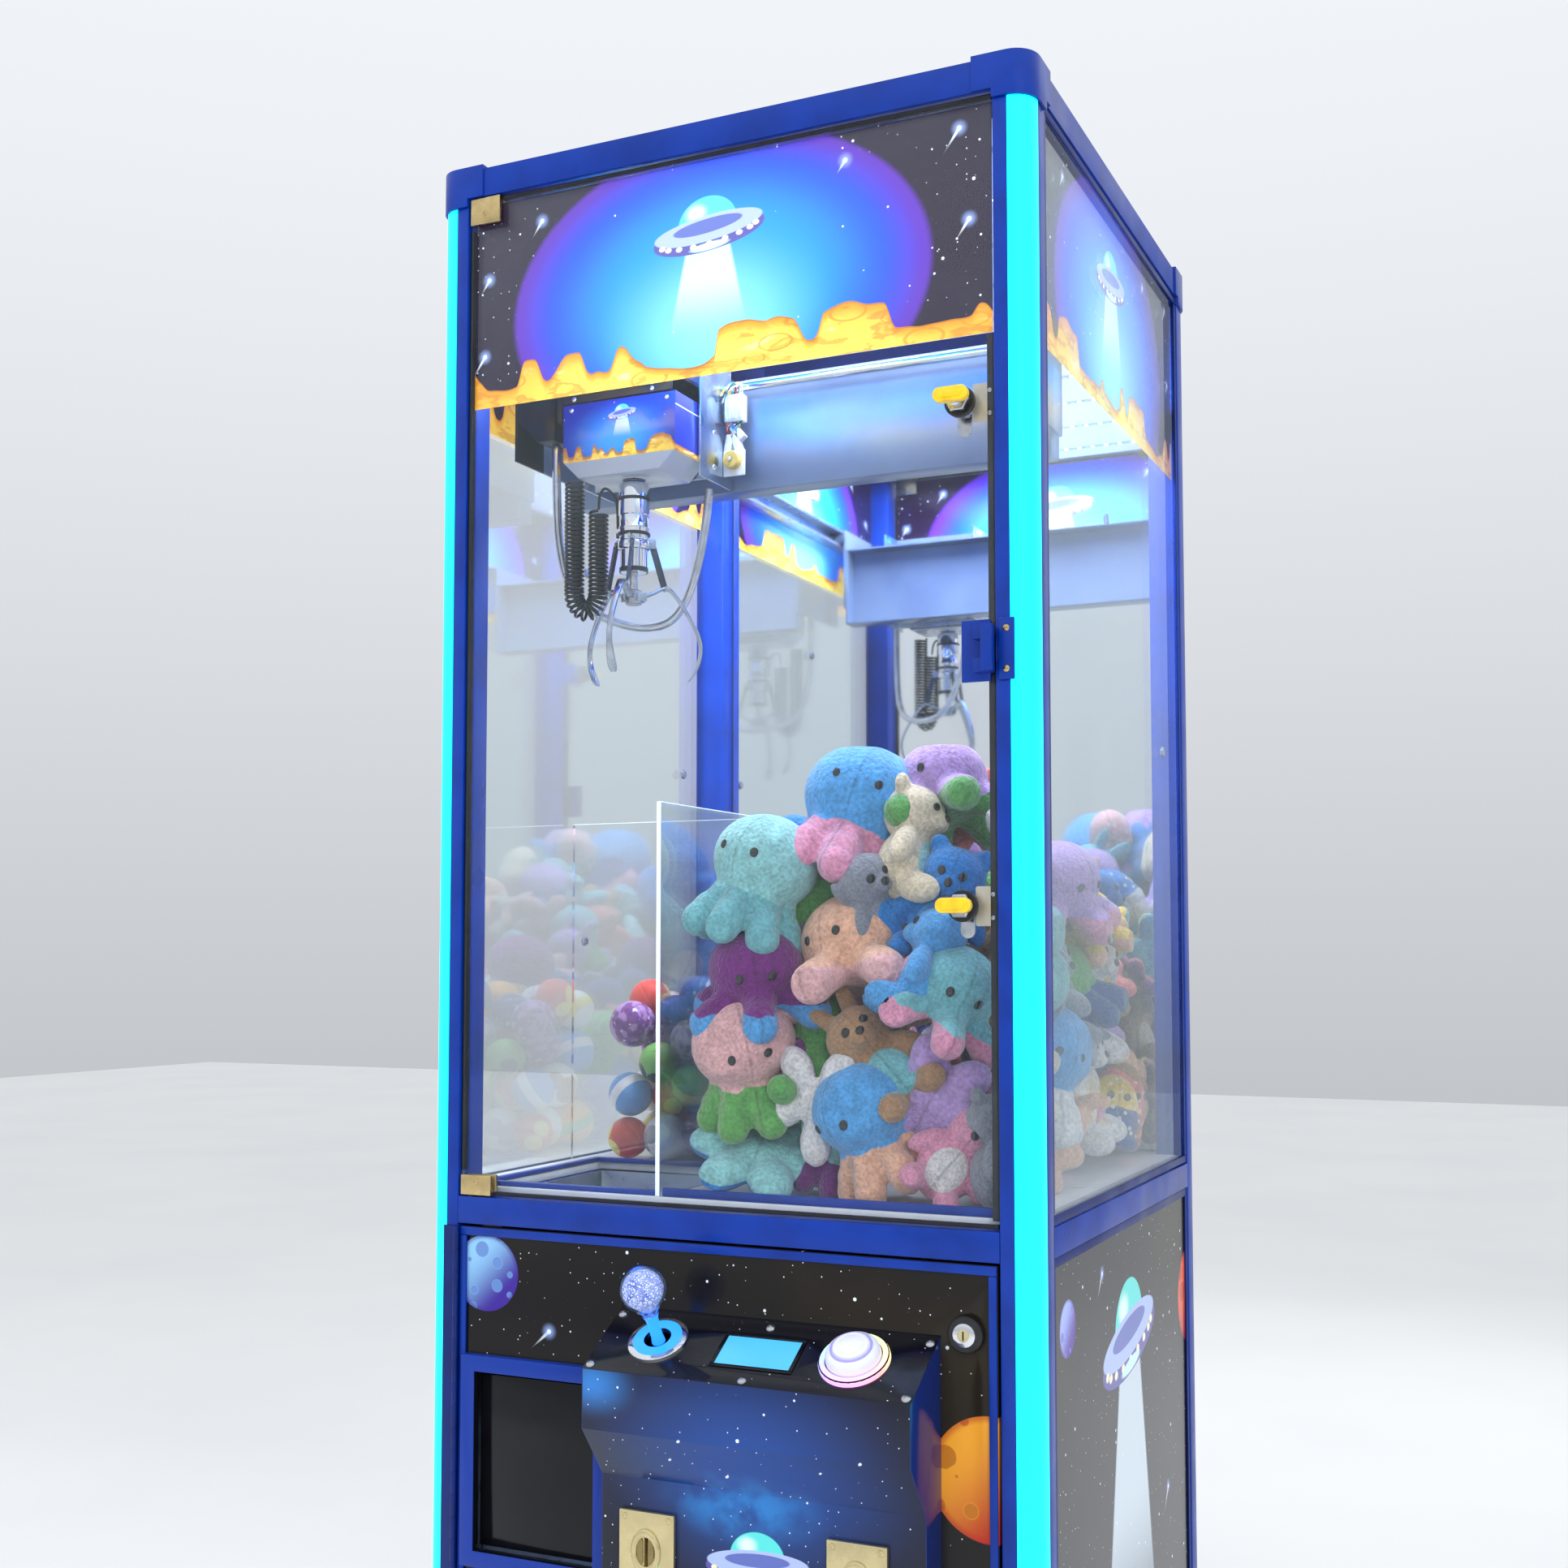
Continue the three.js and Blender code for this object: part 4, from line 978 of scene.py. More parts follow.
def fixings():
    """Screws that show: clamps, catch bracket, glass edges and back panel."""
    brass = Shape(BRASS)
    for x, z in ((-303, 1975), (-303, 830)):
        dome_screw(brass, (x, -1, z), FORWARD, 3.6, 1.6)
    brass.piece("clamp_screws", "glass_door", "clamp_brass")
    bracket = Shape(BRASS)
    for z in (1384, 1426):
        dome_screw(bracket, (340.5, -3.3, z), FORWARD, 3.8, 1.9)
    bracket.piece("bracket_screws", "cabinet", "clamp_brass")
    studs = Shape(ZINC)
    for side in (-1, 1):
        for y, z in ((330, 1610), (610, 1360), (330, 1110)):
            studs.turned([(7, 0), (7, 2), (5.5, 4.2), (0, 4.4)], (side * 361, y, z), (-side, 0, 0), 20)
    for z in (130, 420, 700, 980, 1260, 1540, 1820):
        for x in (-310, 310):
            dome_screw(studs, (x, 722.5, z), BACK, 4, 1.8)
    studs.piece("panel_screws", "cabinet", "duct_steel")


header_panels()
edgings()
guard_edges()
ceiling_leds()
fixings()


# ------------------------------------------------------------------ locks and service door
CAM_LOCK_X = 291
CAM_LOCKS = {"upper_lock": ("upper_cam", 1668), "lower_lock": ("lower_cam", 1142)}
SERVICE_LOCK = (292, 0, 709)


def cam_lock(node, body, z):
    """Amber oval grip with a faint painted glow, chrome neck and nut, black washer and a grey tongue."""
    place = (CAM_LOCK_X, 0, z)
    lock = Shape(AMBER_GLOW, CHROME, BLACK_PLASTIC, ZINC)
    lock.prism(moved(round_box(19, 8, 7.9, 8), CAM_LOCK_X, z), "y", -34, -23.2, 2.6)
    lock.prism(moved(round_box(13, 4.4, 4.3, 6), CAM_LOCK_X, z), "y", -35.2, -33.6, 0.7)
    lock.use(1).turned([(0, -24), (6.2, -24), (6.2, -17), (8, -16.4), (8, -13), (0, -13)], place, BACK, 28)
    lock.use(3).turned(
        [(0, -13), (12, -13), (13.5, -11.6), (13.5, -4.5), (12, -3.4), (0, -3.4)], place, BACK, 6,
    )
    lock.use(2).turned([(0, -3.4), (15.5, -3.4), (16.5, -2.4), (16.5, 2.2), (0, 2.2)], place, BACK, 32)
    lock.use(3).turned(
        [(0, 2.3), (8.8, 2.3), (8.8, 11.2), (12.5, 11.2), (12.5, 15), (0, 15)], place, BACK, 28,
    )
    lock.prism(moved(round_box(8, 21, 7.9, 8), CAM_LOCK_X, z - 12), "y", 15.2, 18.1, 0.7)
    lock.use(3).turned([(0, 18.1), (5, 18.1), (5, 20), (0, 20.4)], place, BACK, 6)
    lock.piece(f"{node}_grip", body, "lock_amber", (node,))


for node, (body, z) in CAM_LOCKS.items():
    cam_lock(node, body, z)
strikes = Shape(STRIKE_BEIGE, ZINC)
for _, z in CAM_LOCKS.values():
    strikes.use(0).prism(moved(round_box(14, 20.5, 2.5), 315, z), "y", 11.2, 11.9, 0.2)
    strikes.use(0).box(328.1, 329.0, 5, 30, z - 20, z + 20, 0.2)
    for dz in (-12, 12):
        dome_screw(strikes.use(1), (320, 11.2, z + dz), FORWARD, 2.6, 1.2)
strikes.piece("strike_plates", "cabinet", "frame_blue")

rounded("service_door", SERVICE_ART, 1.0)
rounded("prize_flap", BLACK_GLOSS, 0.5)
rounded("console_housing", CONSOLE_ART, 1.6, 3)

barrel = Shape(CHROME, BLACK_PLASTIC, GOLD)
barrel.use(1).turned([(0, -6.4), (17, -6.4), (18.5, -4.6), (18.5, 1.4), (0, 1.4)], SERVICE_LOCK, BACK, 40)
barrel.use(0).turned([(0, -9.2), (9, -9.2), (11.8, -8.2), (12.6, -6.2), (0, -6.2)], SERVICE_LOCK, BACK, 40)
barrel.use(2).turned([(0, -10.4), (5.6, -10.4), (6.2, -9.9), (6.2, -9), (0, -9)], SERVICE_LOCK, BACK, 28)
barrel.use(1).box(291.2, 292.8, -10.8, -9.8, 704.5, 713.5, 0.1)
barrel.use(0).turned([(0, 2), (10, 2), (10, 29.5), (0, 29.5)], SERVICE_LOCK, BACK, 28)
barrel.turned([(0, 29.4), (5.9, 29.4), (5.9, 38.6), (0, 38.6)], SERVICE_LOCK, BACK, 6)
barrel.prism(moved(round_box(29, 8, 7.9, 8), 271, 709), "y", 35, 38, 0.7)
barrel.piece("barrel_lock", "service_cam", "chrome", ("service_lock",))

knuckles = Shape(DEEP_BLUE)
for step in range(27):
    z0 = 99 + step * 25.1
    knuckles.turned(
        [(0, 0), (3.5, 0), (3.7, 0.4), (3.7, 23.9), (3.5, 24.3), (0, 24.3)], (-327.2, -4, z0), UP, 14,
    )
knuckles.piece("hinge_knuckles", "cabinet", "frame_blue")


# ------------------------------------------------------------------ console
BULB_BLUE = lit("collar_glow", (0.02, 0.22, 1.0), 1.5, 0.2)
BULB_CLEAR = glassy("bulb_acrylic", (0.75, 0.85, 1.0), 0.05, 0.9)
BUTTON = (BUTTON_X, SLOPE_MIDDLE, 0)
STICK = (STICK_X, SLOPE_MIDDLE, 0)
STICK_PIVOT = (STICK_X, SLOPE_MIDDLE, -22)


def bubble_core():
    """The cloud of bubbles inside the clear bulb, pale with dark rims, under a painted glow."""
    paint = Paint("bubbles", (0.30, 0.40, 0.80), 0.25)
    paint.layer((0.06, 0.12, 0.55), ramp(paint.noise(9, 3.0), 0.45, 0.7))
    for size, share in ((2.2, 0.42), (3.8, 0.36), (6.0, 0.24)):
        node = paint.tree.nodes.new("ShaderNodeTexVoronoi")
        feed(node.inputs["Vector"], paint.point(paint.x / size, paint.y / size, paint.z / size))
        feed(node.inputs["Scale"], 1.0)
        far = Field(paint.tree, node.outputs["Distance"])
        paint.layer((0.10, 0.16, 0.55), ramp(far, share * 1.25, share))
        paint.layer((0.86, 0.92, 1.0), ramp(far, share, share * 0.7))
    # painted glow over the bubble cloud, though it is no lamp
    return paint.done(glow=0.35)


def rainbow_ring():
    """Clear plastic ring lit by coloured lamps, one hue for each direction."""
    paint = Paint("rainbow_ring", (1, 1, 1), 0.2)
    across = paint.x - BUTTON_X
    along = along_slope(paint) - SLOPE_MIDDLE
    angle = along.node("ARCTAN2", across)
    hue = paint.tree.nodes.new("ShaderNodeCombineColor")
    hue.mode = "HSV"
    feed(hue.inputs[0], (angle / (2 * math.pi) + 1.07).node("FRACT"))
    feed(hue.inputs[1], 0.62)
    feed(hue.inputs[2], 1.0)
    paint.colour = Field(paint.tree, hue.outputs[0])
    return paint.done(glow=1.15)


RAINBOW = rainbow_ring()
LCD = plain(
    "lcd", (0.02, 0.30, 0.48), 0.18, 0, 0.6, 60, 0.9, 0.03,
    **{"Emission Color": (0.09, 0.42, 0.80), "Emission Strength": 0.85},
)
DOME_WHITE = lit("dome_white", (0.80, 0.82, 1.0), 0.22, 0.15, (0.72, 0.74, 0.86))
DOME_RING = lit("dome_ring", (0.40, 0.36, 0.9), 0.25, 0.15, (0.34, 0.32, 0.7))


def console_top():
    """Screws, the frame of the display, and the rings round the joystick and the button."""
    trim = Shape(ZINC, BLACK_GLOSS, BULB_BLUE, CHROME)
    for v in (-7, -86.5):
        for x in (-101, 78, 257):
            dome_screw(trim.use(0), (x, v, 0.2), UP, 5.2, 2.4)
    display_frame = (
        (32.5, 126.5, -71, -66.6), (32.5, 126.5, -24.4, -20), (32.5, 36.9, -66.9, -24.1),
        (122.1, 126.5, -66.9, -24.1),
    )
    trim.use(1).boxes(*((*side, 0.1, 1.3, 0.4) for side in display_frame))
    ring = [(15.5, -0.5), (15.5, 4.4), (17, 5.1), (31, 4.7), (33, 3.6), (33.4, -0.5)]
    trim.use(3).turned(ring, STICK, UP, 56, closed=True)
    glow = [(15.2, 4.6), (15.2, 5.5), (24, 5.6), (27, 5.3), (27, 4.6)]
    trim.use(2).turned(glow, STICK, UP, 56, closed=True)
    trim.piece("console_trim", "console_door", "console_blue", place=SLOPE)
    ring = [(30.4, -0.6), (30.4, 6.2), (31.4, 6.8), (35.5, 6.2), (37.4, 4.2), (37.6, -0.6)]
    Shape(RAINBOW).turned(ring, BUTTON, UP, 64, closed=True).piece(
        "button_ring", "console_door", "dome_white", place=SLOPE,
    )
    finish_node("display_window", LCD)


def joystick():
    """A clear bulb full of bubbles on a glowing clear stem."""
    stick = Shape(BULB_CLEAR, bubble_core(), BULB_BLUE, GREY_STEEL)
    shell = [
        (0, 60), (9.2, 60), (10, 63), (12.5, 67), (18.5, 74), (23.5, 82), (25.7, 90.5), (24.4, 100),
        (19, 108.7), (10, 114.8), (0, 116.9),
    ]
    stick.turned(shell, STICK_PIVOT, UP, 48)
    core = [
        (0, 64), (6, 65), (10, 69), (15.5, 76), (20.5, 84), (22.2, 91), (20.6, 99), (15.5, 106.2),
        (8, 110.8), (0, 112),
    ]
    stick.use(1).turned(core, STICK_PIVOT, UP, 32)
    stick.use(2).turned(
        [(0, 22), (7.4, 22), (6.4, 30), (6.2, 46), (7.2, 54), (9.2, 59.8), (0, 59.8)], STICK_PIVOT, UP, 32,
    )
    stick.use(3).turned(
        [(0, -14), (5, -14), (5, -8), (8, -5), (8, 5), (6, 8), (6, 21.8), (0, 21.8)], STICK_PIVOT, UP, 24,
    )
    stick.piece("bubble_joystick", "joystick", "stick_clear", ("joystick_stick",), place=SLOPE)
    rounded("joystick_gimbal", GREY_STEEL, 0.6)


def push_button():
    """A broad white dome with a stepped cap."""
    button = Shape(DOME_WHITE, DOME_RING)
    button.turned([
        (0, -1), (29.2, -1), (29.2, 7), (28.6, 12.5), (26.4, 16.2), (23.2, 18.4), (22.3, 18.6), (0, 18.6),
    ], BUTTON, UP, 64)
    button.use(1).turned(
        [(20, 18.3), (20, 19.6), (21.2, 20.2), (22.3, 19.5), (22.5, 18.4)], BUTTON, UP, 64, closed=True,
    )
    button.use(0).turned(
        [
            (0, 18.5), (19.2, 18.5), (18.9, 21.6), (17.6, 22.6), (15.6, 22.8), (15.2, 22.2), (13.8, 22.2),
            (13.4, 23.4), (8, 25.2), (0, 25.9),
        ],
        BUTTON, UP, 64,
    )
    button.piece("push_dome", "button", "dome_white", ("button_dome",), place=SLOPE)


def coin_acceptors():
    """Cast faces with a slot in an oval boss, a return button, a status light and a cup below."""
    cyan = lit("status_light", (0.1, 0.75, 1.0), 3.0)
    front = -48.3
    for node, x in (("coin_mech_left", -50), ("coin_mech_right", 191)):
        rounded(node, GOLD, 1.3, 3)
        face = Shape(GOLD, DARK_GOLD, BLACK_PLASTIC, cyan, ZINC)
        ring = [(11.2, -0.3), (11.2, 1.8), (13, 3.3), (15.5, 3.3), (17.4, 1.6), (17.8, -0.3)]
        part = Shape(GOLD).turned(ring, (0, 0, 0), FORWARD, 44, closed=True)
        part.mesh.transform(Matrix.Translation((x, front, 461)) @ Matrix.Diagonal((1, 1, 1.36, 1)))
        face.take(part.mesh)
        face.use(1)
        for side in (-1, 1):
            inner = moved(round_box(3.6, 13.5, 3.5, 6), x + side * 6.6, 461)
            face.prism(inner, "y", front - 1.6, front + 0.2, 0.5)
        for dx, dz in ((-26.5, 34.5), (26.5, 34.5), (-26.5, -80), (26.5, -80)):
            dome_screw(face.use(0), (x + dx, front, 461 + dz), FORWARD, 3.6, 1.5)
        face.use(2).prism(moved(round_box(11, 4, 3.9, 6), x - 5, 433), "y", front - 0.7, front + 0.2, 0.2)
        face.use(3).prism(moved(round_box(4.8, 3.6, 0.8, 3), x + 22, 433), "y", front - 1.1, front + 0.2, 0.2)
        face.use(4).prism(moved(round_box(7, 7, 6.9, 8), x - 22, 410), "y", front - 3.4, front + 0.2, 0.8)
        face.use(2).box(x - 17.6, x + 17.6, front - 0.8, front + 0.1, 427.6, 428.8, 0.2)
        face.use(1).prism(
            [(-20.6, 427), (-46.5, 419), (-46.5, 416.8), (-21, 424.6)], "x", x - 16.4, x + 16.4, 0.3,
        )
        face.piece(f"{node}_face", "console_door", "coin_gold")


console_top()
joystick()
push_button()
coin_acceptors()


# ------------------------------------------------------------------ crane
def bridge_paint():
    """Grey powder coat, with the cable arm at its left end in black."""
    paint = Paint("bridge_finish", (0.20, 0.27, 0.42), 0.3, 0.55, 0.2)
    paint.layer((0.15, 0.21, 0.35), ramp(paint.noise(90, 4.0), 0.35, 0.75))
    arm = ramp(paint.x, -261, -263) * ramp(paint.y, 156, 154)
    paint.layer((0.010, 0.012, 0.02), arm)
    paint.bump(paint.noise(0.9, 3.0), 0.25, 0.2)
    return paint.done()


CLAW_FRAME = Matrix.Translation((*CLAW, 0))
FINGER_ANGLES = (-80, 40, 160)
# distance from the claw's axis, and height
FINGER_LINE = [
    (11.5, 1526.5), (25, 1532.5), (40, 1539), (52, 1530), (66, 1510), (78, 1488), (83.5, 1470), (82, 1452),
    (76, 1437), (68, 1425),
]
LINK_LINE = [(24, 1594), (40, 1539)]
FINGER_STEEL = plain("finger_steel", (0.52, 0.57, 0.66), 0.11, 1.0, 0, 22, 0.85, 0.05)
GUNMETAL = plain("gunmetal", (0.10, 0.12, 0.17), 0.3, 0.9, 0, 12, 0.7, 0.1)

rounded("bridge_beam", bridge_paint(), 0.8)
rounded("trolley_bracket", BRUSHED, 0.5)
rounded("head_cover", COVER_ART, 0.9)
rod_profile = [(0, 0), (5.7, 0), (6.5, 0.8), (6.5, 634.6), (5.7, 635.4), (0, 635.4)]
Shape(CHROME).turned(rod_profile, (-317.7, 226, 1799), RIGHT, 40) \
    .piece("guide_rod_finish", "bridge", "chrome", ("guide_rod",))

ROLLER = (-78, 207.6, 1702)


def head_fittings():
    """The black channel over the cover, and what hangs on the right of the trolley."""
    head = Shape(BLACK_PLASTIC, CHROME, WHITE_PLASTIC, YELLOW_NYLON)
    head.boxes(
        (-255, -104, 97, 101, 1763, 1789, 0.5), (-255, -104, 101.3, 177, 1784, 1789, 0.5),
        (-262, -256, 97, 152, 1741, 1789, 0.6),
    )
    head.use(1).box(-250, -108, 93.6, 96.8, 1771.5, 1774, 0.4)
    for x, z in ((-238, 1767.4), (-130, 1767.4), (-243, 1755), (-111, 1755)):
        dome_screw(head.use(1), (x, 97 if z > 1760 else 99, z), FORWARD, 3.4, 1.8)
    for z in (1733, 1690):
        dome_screw(head.use(1), (-94, 190, z), RIGHT, 4.4, 2.6)
    head.use(2).box(-93.6, -64, 214, 217, 1684, 1716, 0.8)
    head.use(3).turned(
        [(3, -6), (9.8, -6), (10.8, -5), (8.6, -1), (8.6, 1), (10.8, 5), (9.8, 6), (3, 6)], ROLLER, BACK,
        36, closed=True,
    )
    head.use(1).turned([(0, -8), (2.8, -8), (2.8, 7), (0, 7)], ROLLER, BACK, 16)
    head.use(2).box(-91, -66, 211, 226, 1752, 1786, 1.2)
    for step in range(5):
        head.box(-89.6 + step * 4.8, -86.6 + step * 4.8, 209.4, 211.2, 1755, 1783, 0.4)
    for x, z, lean in ((-87, 1726, 0.2), (-77, 1727, -0.3), (-75.5, 1739, -0.7)):
        part = Shape(WHITE_PLASTIC).box(-5, 5, -5, 5, -11, 11, 0.9)
        part.mesh.transform(Matrix.Translation((x, 220, z)) @ Matrix.Rotation(lean, 4, "Y"))
        head.take(part.mesh)
    head.piece("head_fittings", "trolley", "steel")


WIRE_RADIUS = 0.8
WIRE_SEED = 5
WIRE_COLOURS = (
    (0.7, 0.03, 0.02), (0.02, 0.25, 0.75), (0.9, 0.72, 0.05), (0.85, 0.85, 0.85), (0.02, 0.4, 0.5),
    (0.02, 0.02, 0.02),
)


def wires():
    """Thin coloured wires between the connectors and into the head."""
    skins = [plain(f"wire_{i}", colour, 0.35, 0, 0.2, 8, 0.8, 0.08) for i, colour in enumerate(WIRE_COLOURS)]
    rng = random.Random(WIRE_SEED)
    loom = Shape(*skins)
    for i in range(12):
        start = (-89 + i * 1.9, 218 + rng.uniform(-3, 3), 1752.5)
        foot = ((-88, 220, 1736), (-76, 220, 1737), (-80, 220, 1748))[i % 3]
        middle = (
            (start[0] + foot[0]) / 2 + rng.uniform(-6, 6), 214 + rng.uniform(-4, 6),
            1744 + rng.uniform(-3, 3),
        )
        loom.use(i % 6).tube(curve([start, middle, foot], 6), WIRE_RADIUS, 6)
    for i in range(8):
        start = (-88 + i * 2.7, 218, 1785.5)
        top = (-86 + i * 2.2 + rng.uniform(-3, 3), 214 + rng.uniform(-5, 3), 1797 + rng.uniform(-3, 6))
        end = (-92.5, 206 + rng.uniform(-6, 6), 1780 + rng.uniform(-5, 5))
        loom.use((i + 2) % 6).tube(curve([start, top, end], 8), WIRE_RADIUS, 6)
    loom.piece("head_wires", "trolley", "cord_black")


# the end of the curly cord, from the claw's axis
COIL_LEAD = (
    (-38, -20, 1634), (-36, -21, 1650), (-30, -20, 1659), (-24, -15, 1655), (-21.5, -8, 1648),
    (-21, -4, 1634), (-20.5, -3.5, 1612),
)


def claw_body():
    """Chrome coil housing in three steps, with its lugs, ties and lead."""
    body = Shape(CHROME, BLACK_PLASTIC, GREY_STEEL)
    body.turned([
        (5.6, 1556.2), (15.6, 1556.2), (16.5, 1557.2), (16.5, 1583.5), (18.6, 1584.6), (19.4, 1586),
        (19.4, 1593.6), (18.6, 1595), (18, 1595.4), (18, 1608), (18.7, 1609), (18.7, 1612), (18, 1613),
        (18, 1625.5), (19.1, 1626.6), (19.1, 1661), (18.2, 1664), (14, 1667.4), (3, 1668), (3, 1672),
        (1.4, 1673), (1.4, 1598), (5.6, 1597),
    ], steps=64, closed=True)
    body.use(1).turned([(17.6, 1556.4), (17.6, 1562), (16.6, 1562), (16.6, 1556.4)], steps=48, closed=True)
    for z in (1646, 1603):
        body.turned(
            [(19.6, z - 2), (20.2, z - 1.4), (20.2, z + 1.4), (19.6, z + 2), (18.2, z + 2), (18.2, z - 2)],
            steps=48, closed=True,
        )
        body.box(-21.6, -18.6, -6, -1, z - 3, z + 3, 0.5)
    for angle in FINGER_ANGLES:
        lug = Shape(GREY_STEEL).box(16.5, 28, 2.2, 5.2, 1588, 1600, 0.8)
        lug.turned([(0, 0), (2.6, 0), (2.6, 5), (0, 5.6)], (24, 4.4, 1594), BACK, 16)
        lug.mesh.transform(Matrix.Rotation(math.radians(angle), 4, "Z"))
        body.use(2).take(lug.mesh)
    body.use(1).tube(curve(COIL_LEAD, 6), 1.7, 8)
    body.piece("coil_housing", "claw", "chrome", ("claw_solenoid",), place=CLAW_FRAME)


def plunger():
    """The plunger's rod and its hub, with a pair of ears for each finger."""
    rod = Shape(ZINC, GREY_STEEL)
    rod.turned([
        (0, 1517), (9, 1517), (10, 1518), (10, 1533.5), (9, 1534.5), (5, 1534.5), (5, 1575), (4.4, 1576),
        (0, 1576),
    ], steps=40)
    for angle in FINGER_ANGLES:
        ear = Shape(GREY_STEEL)
        for low, high in ((-7.8, -5.6), (5.6, 7.8)):
            ear.box(5, 15, low, high, 1521, 1532, 0.7)
        ear.turned([(0, -8.6), (1.8, -8.6), (1.8, 8.6), (0, 8.6)], (11.5, 0, 1526.5), BACK, 14)
        ear.mesh.transform(Matrix.Rotation(math.radians(angle), 4, "Z"))
        rod.use(1).take(ear.mesh)
    rod.piece("plunger_rod", "plunger", "steel", ("claw_plunger",), place=CLAW_FRAME)


# share of the finger's length, half width and half thickness
FINGER_WIDTHS = (
    (0, 5.0, 2.0), (0.30, 4.8, 2.0), (0.5, 3.7, 2.2), (0.72, 3.5, 2.2), (0.86, 5.2, 1.7), (0.95, 5.6, 1.4),
    (1.0, 3.4, 0.9),
)


def finger_section(share):
    """A flat strip at the root, nearly round half way and a broad paddle at the tip."""
    for (t0, w0, h0), (t1, w1, h1) in zip(FINGER_WIDTHS, FINGER_WIDTHS[1:]):
        if share <= t1:
            mix = (share - t0) / (t1 - t0)
            width, height = w0 + (w1 - w0) * mix, h0 + (h1 - h0) * mix
            return round_box(height, width, height * 0.95, 3)
    return round_box(0.7, 3.0, 0.6, 3)


def fingers():
    """Three bent strips, each with its link."""
    line = curve([(r, 0, z) for r, z in FINGER_LINE], 7)
    for number, angle in enumerate(FINGER_ANGLES, 1):
        place = CLAW_FRAME @ Matrix.Rotation(math.radians(angle), 4, "Z")
        finger = Shape(FINGER_STEEL, ZINC).swept(line, finger_section, up=BACK)
        finger.use(1).turned(
            [(0, -6.4), (2, -6.4), (2.6, -5.8), (2.6, 4.9), (2, 5.5), (0, 5.5)], (40, 0, 1539), BACK, 20,
        )
        finger.piece(
            f"finger_{number}_strip", f"finger_{number}", "chrome", (f"claw_finger_{number}",), place=place,
        )
        (r0, z0), (r1, z1) = LINK_LINE
        lean = math.atan2(z1 - z0, r1 - r0)
        half = math.hypot(r1 - r0, z1 - z0) / 2
        bar = [
            (
                (r0 + r1) / 2 + u * math.cos(lean) - v * math.sin(lean),
                (z0 + z1) / 2 + u * math.sin(lean) + v * math.cos(lean),
            )
            for u, v in round_box(half, 4, 3.9, 6)
        ]
        link = Shape(GUNMETAL, ZINC).prism(bar, "y", 5.7, 8.5, 0.5)
        for r, z in LINK_LINE:
            link.use(1).turned([(2.4, 8.4), (2.4, 9.4), (1.4, 10), (0, 10.1)], (r, 0, z), BACK, 16)
        link.piece(f"link_{number}_bar", f"link_{number}", "steel", (f"claw_link_{number}",), place=place)


head_fittings()
wires()
claw_body()
plunger()
fingers()


# ------------------------------------------------------------------ prizes
def plush_paint(name, colour, second=None, split=None, dots=None):
    """Short pile with a seam round the middle, in the toy's own coordinates.

    split(paint) says where the second colour goes.
    """
    paint = Paint(name, colour, 0.85, 0, 0, local=True, **{
        "Sheen Weight": 0.7, "Sheen Roughness": 0.45, "Sheen Tint": tuple(0.5 + 0.5 * c for c in colour),
    })
    if second:
        paint.layer(second, split(paint))
    if dots:
        far, _ = paint.cells(paint.x, paint.z, 17)
        paint.layer(dots, ramp(far, 0.2, 0.16))
    pile = paint.noise(4.4, 5.0)
    clumps = paint.noise(15, 3.0)
    dark = paint.tree.nodes.new("ShaderNodeMix")
    dark.data_type = "RGBA"
    dark.blend_type = "MULTIPLY"
    feed(dark.inputs[0], 1.0)
    feed(dark.inputs[6], paint.colour)
    grey = ramp(clumps, 0.3, 0.7, 0.80, 1.0) * ramp(pile, 0.3, 0.7, 0.74, 1.10)
    seam = ramp(paint.x.absolute(), 0.1, 3.0, 0.76, 1.0)
    feed(dark.inputs[7], grey * seam)
    paint.colour = Field(paint.tree, dark.outputs[2])
    paint.bump(pile * 1.6 + clumps + seam * 1.2, 0.9, 2.6)
    return paint.done()


def lower_half(paint):
    return ramp(paint.z + ramp(paint.noise(34, 1.0), 0.3, 0.7, -3, 3), -6, -8)


def belly(paint):
    return ramp(distance(paint.x, paint.z, 0, 0, 30, 36), 1.02, 0.97) * ramp(paint.y, -20, -22)


def inner_side(paint):
    return ramp(paint.y, 1.5, 0.5)


# Each toy is a set of blobs: centre, radii and turn in degrees, in millimetres, looking along -y.
STRAIGHT = (0, 0, 0)


def limbs(count, reach, drop, size, head):
    """A round head on soft limbs that reach out and droop."""
    blobs = [((0, 0, head * 0.55), (head, head * 0.93, head * 0.86), STRAIGHT)]
    for i in range(count):
        angle = 2 * math.pi * (i + 0.5) / count
        for share in (0.35, 0.62, 0.85, 1.0):
            radius = size * (1.0 + 0.12 * share)
            x, y = math.cos(angle) * reach * share, math.sin(angle) * reach * share
            blobs.append(((x, y, head * 0.1 - drop * share**2), (radius,) * 3, STRAIGHT))
    return blobs


def mirrored(*blobs):
    """The blobs and their mirror images across x = 0."""
    return [*blobs, *(((-x, y, z), radii, (rx, -ry, -rz)) for (x, y, z), radii, (rx, ry, rz) in blobs)]


def petals(count, reach, size, lift):
    """A round middle with petals or points about it."""
    blobs = [((0, 0, 0), (size, size * 0.6, size), STRAIGHT)]
    for i in range(count):
        angle = 2 * math.pi * i / count
        place = (math.cos(angle) * reach, lift, math.sin(angle) * reach)
        blobs.append((place, (size, size * 0.55, size * 0.72), (0, -math.degrees(angle), 0)))
    return blobs


BODY = [
    ((0, 0, 0), (48, 40, 52), STRAIGHT), ((0, -4, 74), (47, 42, 41), STRAIGHT),
    ((0, -42, 62), (19, 13, 14), STRAIGHT),
]
ARMS_AND_LEGS = mirrored(
    ((48, -14, 18), (17, 17, 36), (0, -35, 0)), ((31, -34, -38), (21, 36, 21), (12, 0, 18)),
)
FACE = ((17, -44, 80), (-17, -44, 80), (0, -55, 66))
